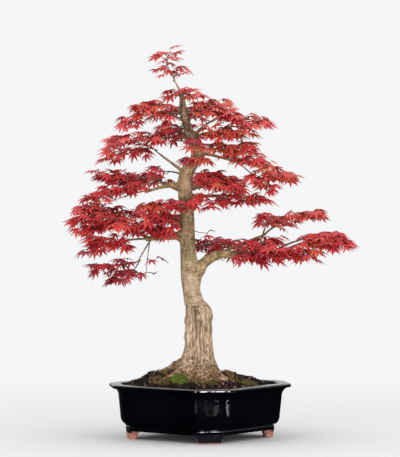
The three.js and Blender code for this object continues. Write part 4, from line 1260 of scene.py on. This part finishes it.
def bark_swell(angle, height):
    """What stands out from the trunk: broad lumps as noise about 0, and the burr and shoulders as ovals."""
    lumps = ovals(angle, height, SWELLS)
    for name, high, *features in BARK_LUMPS:
        lumps += zone(name, height) * high * (on_skin(angle, height, *features) - 0.5)
    return lumps


def collar(distance, reach):
    """How far a surface swells where another limb comes near, so that the two run into each other: a
    quarter of the reach where they meet, falling by a square to nothing at the reach."""
    return reach / 4 * np.clip(1 - np.abs(distance) / reach, 0, 1) ** 2


def trunk_distance(points):
    """How far points lie outside the trunk's smooth skin."""
    height = np.clip(points[..., 2], 0, TRUNK_TOP)
    centre, radius = trunk_at(height)
    away = np.hypot(points[..., 0] - centre[..., 0], points[..., 1] - centre[..., 1])
    return away - (radius + flare(height))


def limb_distance(points, path, radii):
    """How far points lie outside a limb: the least distance to its line's points, less the radius there."""
    gaps = np.linalg.norm(points[:, None] - path[None], axis=-1) - radii
    return gaps.min(axis=1)


def trunk_collars(rings):
    """How far each point of the trunk's rings swells towards the boughs that leave the trunk near it."""
    swell = np.zeros(rings.shape[:2])
    height = rings[:, 0, 2]
    for name in BOUGHS:
        limb = LIMBS[name]
        if limb["on"] == "trunk":
            path, radii = limb["path"], limb["radii"]
            free = trunk_distance(path) > -COLLAR_DEPTH * radii[0]
            near = np.abs(height - path[0, 2]) < COLLAR_SPAN * radii[0]
            gap = limb_distance(rings[near].reshape(-1, 3), path[free], radii[free])
            grown = collar(gap, COLLAR * radii[0]).reshape(-1, rings.shape[1])
            swell[near] = np.maximum(swell[near], grown)
    return swell


def trunk_shape(columns=240):
    """Level rings up the trunk, each pushed out by flare, lumps and collars and in by the bark's
    relief. The painted shade in the furrows is the relief's depth as a share of a full one, with more in
    hollows."""
    low = np.linspace(0, TRUNK_FINE_BELOW, TRUNK_RINGS[0], endpoint=False)
    height = np.concatenate([low, np.linspace(TRUNK_FINE_BELOW, TRUNK_TOP, TRUNK_RINGS[1])])
    high, turn = np.meshgrid(height, once_round(columns), indexing="ij")
    centre, radius = trunk_at(height)
    amount, *features = FLARE_UNEVEN
    uneven = amount * (on_skin(turn, high, *features) - 0.5)
    depth = bark_depth(turn, high)
    hollows = bark_hollows(turn, high)
    reach = radius[:, None] + flare(high) * (flare_share(turn) + uneven) + bark_swell(turn, high)
    outward = level_way(turn)
    rings = centre[:, None] + outward * (reach - depth - hollows)[..., None]
    rings = rings + outward * trunk_collars(rings)[..., None]
    rings[-len(TRUNK_TOP_ROUND):, :, 2] -= np.array(TRUNK_TOP_ROUND)[:, None]
    # painted shade in the furrows and hollows, and a little at the middle of the top, kept on the mesh
    full = between(FURROW_FULL, ease(*FURROW_CHANGE, high))
    furrow = np.clip((depth - FURROW_FROM) / full + FURROW_HOLLOW * hollows, 0, 1)
    return closed_grid(rings), np.concatenate([furrow.ravel(), [0, 0.4]])


# Boughs

def even_steps(line, share):
    """Points of a line at shares of its length."""
    length = np.concatenate([[0], np.cumsum(np.linalg.norm(np.diff(line, axis=0), axis=1))])
    return np.stack([np.interp(share * length[-1], length, line[:, axis]) for axis in range(3)], -1)


def arched_path(start, end, arch, stations):
    """A quadratic curve from start to end, pulled up by arch near its start, in even steps of its length."""
    pull = start + (end - start) * BEND + UP * arch
    t = np.linspace(0, 1, 240)[:, None]
    line = (1 - t) ** 2 * start + 2 * t * (1 - t) * pull + t**2 * end
    return even_steps(line, np.linspace(0, 1, stations))


def find_limbs():
    """Each limb's line and radii, from the limb that carries it."""
    limbs = {}
    for name, (on, at, tip, arch, radii) in {**BOUGHS, **SHOOTS, **ROOTS}.items():
        start = trunk_at(at)[0] if on == "trunk" else even_steps(limbs[on]["path"], np.array([at]))[0]
        path = arched_path(start, np.array(tip, float), arch, BOUGH_STATIONS)
        limbs[name] = {"on": on, "path": path, "radii": np.linspace(*radii, BOUGH_STATIONS)}
    return limbs


LIMBS = find_limbs()


def bough_shape(name, columns=28):
    """A limb's rings along its line, with lumps, bark and a collar where it leaves its carrier. Roots
    are twice as lumpy, with deeper creases."""
    limb = LIMBS[name]
    path, radii = limb["path"], limb["radii"]
    heading = unit(np.gradient(path, axis=0))
    spoke = spokes(heading, unit(np.cross(heading, UP)), columns)
    skin = path[:, None] + spoke * radii[:, None, None]
    width, sharp, seed = BOUGH_CREASES
    creases = crease(noise(skin / width, seed), sharp)
    flat = skin.reshape(-1, 3)
    if limb["on"] == "trunk":
        gap = trunk_distance(flat)
    else:
        gap = limb_distance(flat, LIMBS[limb["on"]]["path"], LIMBS[limb["on"]]["radii"])
    swell = collar(gap, COLLAR * radii[0]).reshape(skin.shape[:2])
    earthy = name in ROOTS
    grown = between((BOUGH_START, 1), ease(0, BOUGH_GROWTH, np.linspace(0, 1, len(radii))))
    lumpy = 1 + layers(skin, BOUGH_LUMPS) * (1 + earthy)
    cut = (BOUGH_CREASE_DEPTH + ROOT_CREASE_DEPTH * earthy) * creases
    reach = (grown * radii)[:, None] * lumpy - cut + swell
    # painted shade in the creases, and roots darker all over
    furrow = BOUGH_SHADE * creases + ROOT_DARKENING * earthy
    return closed_grid(path[:, None] + spoke * reach[..., None]), np.concatenate([furrow.ravel(), [0, 0]])


# Masses of leaves

def mass_axes(on, at, far):
    """Where a mass's stem starts, and the ways along it, across it and up from it, as in the solids."""
    end = np.array(far, float)
    if on != "trunk":
        start = even_steps(LIMBS[on]["path"], np.array([at]))[0]
    else:
        centre, radius = trunk_at(at)
        away = unit((end - centre) * [1, 1, 0])
        start = centre + away * radius if at < TRUNK_TOP else centre
    along = unit(end - start)
    across = unit(np.cross(UP, along))
    return start, end, along, across, np.cross(along, across)


def inside_space(points, axes, width, thick):
    """True in the rounded box u^4 + v^4 + w^4 that a mass keeps to."""
    start, end, along, across, above = axes
    offset = points - (start + end) / 2
    u = offset @ along / (np.linalg.norm(end - start) / 2)
    v = offset @ across / (width / 2)
    w = offset @ above / (thick / 2)
    return u**4 + v**4 + w**4 <= SPACE_LIMIT


def twig_places(length, seed, bare, spacing):
    """Shares of the stem and turns from its heading: a fan at its end and opposite pairs along it."""
    nodes = round(length / spacing)
    node = np.repeat(np.arange(nodes - 1, -1, -1), 2)
    side = np.tile([-1, 1], nodes)
    share = bare + (1 - bare) * (node + FIRST_NODE) / nodes
    turn = side * np.radians(between(TWIG_ANGLE, chance(seed, node + 0.5 * side)))
    fan = np.radians(STEM_END_FAN)
    return np.concatenate([np.full(len(fan), STEM_END_SHARE), share]), np.concatenate([fan, turn])


def grow_twigs(axes, stem, width, thick, seed, bare, spacing):
    """A twig at each place: of some seeded tries at its length, rise and swing, the first whose leaves
    stay in the space. Returns the roots, ways and lengths of those that found room."""
    length = np.linalg.norm(np.diff(stem, axis=0), axis=1).sum()
    share, turn = twig_places(length, seed, bare, spacing)
    root = even_steps(stem, share)
    step = np.arange(len(share))[:, None] + len(share) * np.arange(ATTEMPTS)[None]
    swing = turn[:, None] + TWIG_SWING * (chance(seed, step + 0.25) - 0.5)
    rise = np.radians(between(TWIG_RISE, chance(seed + 0.37, step)))
    _, _, along, across, above = axes
    way = swung(swung(along, across, swing), above, rise)
    longest = max(TWIG_LEAST + TWIG_SPAN, width / 2 - TWIG_LEAF_ROOM)
    reach = between((TWIG_LEAST, longest), chance(seed + 0.74, step))
    tip = root[:, None] + way * (reach + TWIG_LEAF_SHARE * TWIG_LEAF_ROOM)[..., None]
    fits = inside_space(tip, axes, width, thick) & (trunk_distance(tip) > TWIG_TRUNK_ROOM)
    found = fits.any(1)
    pick = (np.arange(len(share)), fits.argmax(1))
    return root[found], way[pick][found], reach[pick][found]


def grow_leaves(root, way, reach, seed):
    """Leaves on twigs: a pair at each node and a pair at the end, on stalks that lift a little.
    Returns, for each leaf, its twig, where its stalk roots, where the stalk ends, and its level heading."""
    pairs = 1 + np.round(reach / LEAF_NODE_SPACING).astype(int)
    twig = np.repeat(np.arange(len(reach)), 2 * pairs)
    order = np.arange(len(twig)) - np.repeat(np.cumsum(2 * pairs) - 2 * pairs, 2 * pairs)
    place, side = order // 2, order % 2 * 2 - 1
    share = 1 - place / pairs[twig]
    step = np.arange(len(twig))
    at_end = between(STALK_END_ANGLE, chance(seed, step + 0.1))
    at_side = between(STALK_SIDE_ANGLE, chance(seed, step + 0.2))
    spin = np.radians(side * np.where(place == 0, at_end, at_side))
    heading = unit(way * [1, 1, TWIG_LEVELLING])[twig]
    rise = np.radians(between(STALK_RISE, chance(seed, step + 0.3)))
    level = swung(heading, unit(np.cross(UP, heading)), spin)
    stalk = unit(swung(level, UP, rise))
    length = between(STALK_LENGTHS, chance(seed, step + 0.4))
    base = root[twig] + (way * reach[:, None])[twig] * share[:, None]
    return twig, base, base + stalk * length[:, None], level


def leaf_frames(level, seed):
    """Each leaf's axis, way across and normal: out from its stalk, with a seeded droop and roll."""
    step = np.arange(len(level))
    droop = np.radians(between(LEAF_DROOP, chance(seed, step + 0.5)))
    axis = unit(swung(unit(level * [1, 1, LEAF_LEVELLING]), -UP, droop))
    across = unit(np.cross(UP, axis))
    roll = np.radians(LEAF_ROLL * (2 * chance(seed, step + 0.6) - 1))
    tilted = swung(across, np.cross(axis, across), roll)
    return axis, tilted, np.cross(axis, tilted)


def leaf_pattern():
    """The flat leaf: for each lobe two sides at its waist, a tip and a raised midrib point, with
    notches between lobes and a middle above and below. Returns places, lift as a share of the
    thickness, and triangles."""
    angle = np.radians([turn for turn, _ in LOBES])
    length = np.array([share for _, share in LOBES])
    way = np.stack([np.cos(angle), np.sin(angle)], -1)
    side = np.stack([-np.sin(angle), np.cos(angle)], -1)
    waist = way * (LOBE_WAIST * length)[:, None]
    half = side * (LOBE_HALF_WIDTH * length**LOBE_WIDTH_POWER)[:, None]
    heel_turn, heel_reach = np.radians(LEAF_HEEL[0]), LEAF_HEEL[1]
    notch_angle = np.concatenate([[-heel_turn], (angle[:-1] + angle[1:]) / 2, [heel_turn]])
    notch_reach = LEAF_NOTCH * np.minimum(length[:-1], length[1:])
    notch_reach = np.concatenate([[heel_reach], notch_reach, [heel_reach]])
    notch = np.stack([np.cos(notch_angle), np.sin(notch_angle)], -1) * notch_reach[:, None]
    lobes = np.stack([waist - half, way * length[:, None], waist + half, waist * RIB_REACH], axis=1)
    flat = np.concatenate([np.zeros((2, 2)), notch, lobes.reshape(-1, 2)])
    lift = np.concatenate([[1, -1], np.zeros(len(notch)), np.tile([0, 0, 0, RIB_LIFT], len(LOBES))])
    faces = []
    for lobe in range(len(LOBES)):
        near, far = 2 + lobe, 3 + lobe
        first, tip, second, rib = range(2 + len(notch) + 4 * lobe, 6 + len(notch) + 4 * lobe)
        faces += [(0, near, rib), (near, first, rib), (first, tip, rib), (rib, tip, second)]
        faces += [(rib, second, far), (0, rib, far), (1, far, near)]
        faces += [(near, second, first), (first, second, tip), (near, far, second)]
    last = 1 + len(notch)
    faces += [(0, last, 2), (1, 2, last)]
    return flat, lift, np.array(faces)


def leaf_shape(middle, axis, across, normal, seed):
    """Leaves all at once: the flat pattern scaled, its lobes uneven, hung down by the square of the
    distance from the middle and folded down along the middle lobe."""
    flat, lift, faces = leaf_pattern()
    step = np.arange(len(middle))[:, None]
    size = between(LEAF_LENGTHS, chance(seed, step + 0.7))
    curl = between(LEAF_CURL, chance(seed, step + 0.8))
    lobe = np.concatenate([np.zeros(2 + len(LOBES) + 1), np.repeat(np.arange(1, len(LOBES) + 1), 4)])
    uneven = np.where(lobe > 0, between(LOBE_UNEVEN, chance(seed + 5, step * 9 + lobe)), 1.0)
    x, y = flat[:, 0] * uneven, flat[:, 1] * uneven
    hang = curl * (x**2 + y**2) + LEAF_FOLD * curl * np.abs(y)
    rise = lift * LEAF_THICKNESS * size - hang
    offset = axis[:, None] * (x * size)[..., None] + across[:, None] * (y * size)[..., None]
    return copies(middle[:, None] + offset + normal[:, None] * rise[..., None], faces)


def clear_of_trunk(points, in_front):
    """True for leaves off the trunk's skin and, but for the few sprays in front, off its open front."""
    centre, radius = trunk_at(np.clip(points[:, 2], 0, TRUNK_TOP))
    before = (points[:, 1] < centre[:, 1]) & (points[:, 2] < TRUNK_TOP - FRONT_BELOW_TOP)
    before &= np.abs(points[:, 0] - centre[:, 0]) - radius < FRONT_ROOM
    return (trunk_distance(points) > LEAF_TRUNK_ROOM) & (in_front | ~before)


def grow_mass(seed, on, at, far, width, thick, arch, red, bare, spacing):
    """A mass: its stem, twigs, stalks and leaves, and each leaf's red, dealt out by spray."""
    axes = mass_axes(on, at, far)
    start, end, along = axes[:3]
    room = min(STEM_END_ROOM, STEM_END_MOST * np.linalg.norm(end - start))
    stem = arched_path(start - along * STEM_SINK, end - along * room, arch, STEM_STATIONS)
    thickest = STEM_RADII[0] if on == "trunk" else min(STEM_RADII[0], LIMBS[on]["radii"][-1])
    root, way, reach = grow_twigs(axes, stem, width, thick, seed, bare, spacing)
    twig, base, middle, level = grow_leaves(root, way, reach, seed + 50)
    leaf = leaf_frames(level, seed + 60)
    tips = middle + leaf[0] * LEAF_LENGTHS[0]
    clear = inside_space(tips, axes, LEAF_SPACE[0] * width, LEAF_SPACE[1] * thick)
    clear &= clear_of_trunk(middle, far[1] < FRONT_SPRAYS)
    twig, base, middle = twig[clear], base[clear], middle[clear]
    deal = np.array(DEALS[red])
    spray = (chance(seed + 90, np.arange(len(reach))) * len(deal)).astype(int)[twig]
    stray = chance(seed + 95, np.arange(len(twig))) < STRAY_SHARE
    return {
        "stem": (stem, np.linspace(thickest, STEM_RADII[1], STEM_STATIONS)),
        "twigs": (root, root + way * reach[:, None]),
        "stalks": (base, middle),
        "leaves": (middle, *(part[clear] for part in leaf)),
        "reds": deal[np.where(stray, (spray + 1) % len(deal), spray)],
    }


def bowed(start, end, sag, stations):
    """Lines from starts to ends that bow down by a share of their length."""
    share = np.linspace(0, 1, stations)[None, :, None]
    drop = sag * np.linalg.norm(end - start, axis=1)[:, None, None] * 4 * share * (1 - share)
    return start[:, None] + (end - start)[:, None] * share - UP * drop


def gather(masses, key):
    """One kind of array from all masses, each of its parts joined end to end."""
    return [np.concatenate(part) for part in zip(*(mass[key] for mass in masses))]


def make_foliage():
    """Stems, twigs and stalks as tubes, and the leaves, a piece to each red."""
    masses = [grow_mass(number + 1.0, *spray) for number, spray in enumerate(SPRAYS.values())]
    nodes = [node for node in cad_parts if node.startswith("leaves_")]
    stems, radii = (np.array(part) for part in zip(*(mass["stem"] for mass in masses)))
    twigs = bowed(*gather(masses, "twigs"), TWIG_SAG, TWIG_STATIONS)
    twig_radii = np.broadcast_to(np.linspace(*TWIG_RADII, TWIG_STATIONS), twigs.shape[:2])
    stalks = bowed(*gather(masses, "stalks"), STALK_SAG, STALK_STATIONS)
    stalk_radii = np.full(stalks.shape[:2], STALK_RADIUS)
    stem_bark = mottled_finish("stem_bark", (104, 84, 64), 0.8, 160)
    twig_bark = mottled_finish("twig_bark", (80, 66, 57), 0.8, 260)
    stalk_red = mottled_finish("stalk_red", (132, 46, 46), 0.6, 200)
    piece("leaf_stems", tubes(stems, radii, STEM_SIDES), TREE_FOOT, stem_bark, "young_bark", replaced=nodes)
    piece("twigs", tubes(twigs, twig_radii, TWIG_SIDES), TREE_FOOT, twig_bark, "young_bark", replaced=nodes)
    stalk_tubes = tubes(stalks, stalk_radii, STALK_SIDES)
    piece("leaf_stalks", stalk_tubes, TREE_FOOT, stalk_red, "leaf_deep", replaced=nodes)
    reds = np.concatenate([mass["reds"] for mass in masses])
    leaves = gather(masses, "leaves")
    for number, (name, (colour, slot)) in enumerate(REDS.items()):
        shape = leaf_shape(*(part[reds == name] for part in leaves), 200.0 + number)
        finish = Finish(f"leaf_{name}", Base_Color=shade(*colour), Roughness=0.5)
        piece(f"leaves_{name}", shape, TREE_FOOT, finish.material, slot, smooth=False, replaced=nodes)


def make_tree():
    """The trunk, the boughs with the thin shoots and surface roots, and the foliage."""
    trunk, furrow = trunk_shape()
    finish = bark_finish("trunk_bark")
    piece("trunk_bark", trunk, TREE_FOOT, finish, "bark", replaced=["trunk"], furrow=furrow)
    shapes, furrows = zip(*(bough_shape(name) for name in LIMBS))
    finish = bark_finish("bough_bark", 0.9)
    nodes = [f"bough_{name}" for name in BOUGHS]
    furrow = np.concatenate(furrows)
    piece("bough_bark", joined(shapes), TREE_FOOT, finish, "young_bark", replaced=nodes, furrow=furrow)
    make_foliage()


def make_pot():
    """The bowl and its feet, and the soil with its grit and moss."""
    bowl, thin_glaze = pot_bowl()
    piece("pot_bowl", bowl, POT_AXIS, glaze_finish(), "glaze", replaced=["pot"], thin_glaze=thin_glaze)
    feet, glazed = pot_feet()
    piece("pot_feet", feet, POT_AXIS, clay_finish(), "glaze", glazed=glazed)
    piece("soil_mound", soil_mound(), POT_AXIS, soil_finish(), "earth", replaced=["soil"])
    for number, (tint, (count, colour)) in enumerate(GRIT.items()):
        finish = mottled_finish(f"grit_{tint}", colour, 0.9, 600)
        piece(f"grit_{tint}", soil_grains(count, 71.0 + number), POT_AXIS, finish, "earth", smooth=False)
    dull_foot, dry_foot = (foot_moss(*rule) for rule in FOOT_MOSS.values())
    shapes = {"bright": moss_blades(True), "dull": joined([moss_blades(False), dull_foot]), "dry": dry_foot}
    for tint, colour in MOSS_TINTS.items():
        finish = mottled_finish(f"moss_{tint}", colour, 0.8, 300)
        piece(f"moss_{tint}", shapes[tint], POT_AXIS, finish, "earth", smooth=False)


# Stage, light and camera

def make_floor():
    """A pale round floor that fades into the white round it, and that the glaze mirrors as dark."""
    bpy.ops.mesh.primitive_circle_add(
        vertices=96, radius=FLOOR_RADIUS, fill_type="NGON", location=tuple(POT_AXIS)
    )
    floor = bpy.context.object
    floor.name = "floor"
    finish = Finish("pale_floor", Base_Color=FLOOR_TONE, Roughness=0.9, Specular_IOR_Level=0.0)
    away = finish.add("ShaderNodeVectorMath", {0: finish.spot()}, operation="LENGTH").outputs["Value"]
    white = finish.add("ShaderNodeEmission", {"Color": BACKDROP}).outputs["Emission"]
    pale = finish.either(finish.spread(away, *FLOOR_FADE), finish.shader.outputs["BSDF"], white)
    dark = finish.add("ShaderNodeBsdfDiffuse", {"Color": FLOOR_MIRRORED}).outputs["BSDF"]
    mirrored = finish.add("ShaderNodeLightPath").outputs["Is Glossy Ray"]
    seen = finish.either(mirrored, pale, dark)
    finish.put(seen, finish.tree.nodes["Material Output"].inputs["Surface"])
    floor.data.materials.append(finish.material)


def make_world():
    """White behind the plant and an even soft light on it; the glaze mirrors a room that is pale behind
    and dark in front."""
    world = bpy.data.worlds.new("studio")
    bpy.context.scene.world = world
    world.use_nodes = True
    tree = world.node_tree
    recipe = Recipe(tree)
    white = tree.nodes["Background"]
    recipe.put(BACKDROP, white.inputs["Color"])
    soft = recipe.add("ShaderNodeBackground", {"Color": SOFT_TONE, "Strength": SOFT_LIGHT})
    way = recipe.add("ShaderNodeTexCoord").outputs["Generated"]
    back = recipe.add("ShaderNodeSeparateXYZ", {"Vector": way}).outputs["Y"]
    pale = recipe.add("ShaderNodeMapRange", {"Value": back, **ROOM_PALE}).outputs["Result"]
    room = recipe.add("ShaderNodeBackground", {"Strength": pale})
    rays = recipe.add("ShaderNodeLightPath").outputs
    light, mirrored, behind = (node.outputs["Background"] for node in (soft, room, white))
    unseen = recipe.either(rays["Is Glossy Ray"], light, mirrored)
    seen = recipe.either(rays["Is Camera Ray"], unseen, behind)
    recipe.put(seen, tree.nodes["World Output"].inputs["Surface"])


def make_lamp(name, place, aim, size, power, mirrored=True, lit=True):
    """A soft rectangular lamp at place, facing aim, in metres and watts, that the camera doesn't see:
    it shows in the glaze if mirrored, and lights the plant if lit."""
    lamp = bpy.data.lights.new(name, "AREA")
    lamp.shape = "RECTANGLE"
    lamp.size, lamp.size_y = size
    lamp.energy = power
    made = bpy.data.objects.new(name, lamp)
    made.location = place
    made.visible_camera = False
    made.visible_glossy = mirrored
    made.visible_diffuse = lit
    made.rotation_mode = "QUATERNION"
    made.rotation_quaternion = (Vector(aim) - Vector(place)).to_track_quat("-Z", "Y")
    bpy.context.scene.collection.objects.link(made)


def make_lights():
    """The lamps, and a card for each bright spot, standing upright and facing the spot's level; a
    card's power is its glow over its area."""
    for name, lamp in LAMPS.items():
        make_lamp(name, *lamp)
    for number, (spot, angle, away, drop, width, height, glow) in enumerate(CARDS):
        aim = np.array(spot, float) - UP * drop
        place = aim + away * level_way(np.radians(angle))
        power = glow * np.pi * width * height * MM * MM
        ends = [tuple(POT_AXIS + point * MM) for point in (place, aim)]
        make_lamp(f"card_{number}", *ends, (width * MM, height * MM), power, lit=False)


def make_camera():
    """The camera in front of the pot's axis, looking down a little."""
    data = bpy.data.cameras.new("camera")
    data.lens = CAMERA_LENS
    data.sensor_width = CAMERA_SENSOR
    pitch = np.radians(CAMERA_PITCH)
    camera = bpy.data.objects.new("camera", data)
    away = np.array([0, -np.cos(pitch), np.sin(pitch)]) * CAMERA_DISTANCE
    camera.location = POT_AXIS + UP * CAMERA_AIM + away
    camera.rotation_euler = (np.pi / 2 - pitch, 0, 0)
    bpy.context.scene.collection.objects.link(camera)
    bpy.context.scene.camera = camera


make_camera()
make_pot()
make_tree()
make_floor()
make_world()
make_lights()
bpy.context.scene.view_settings.view_transform = "Standard"
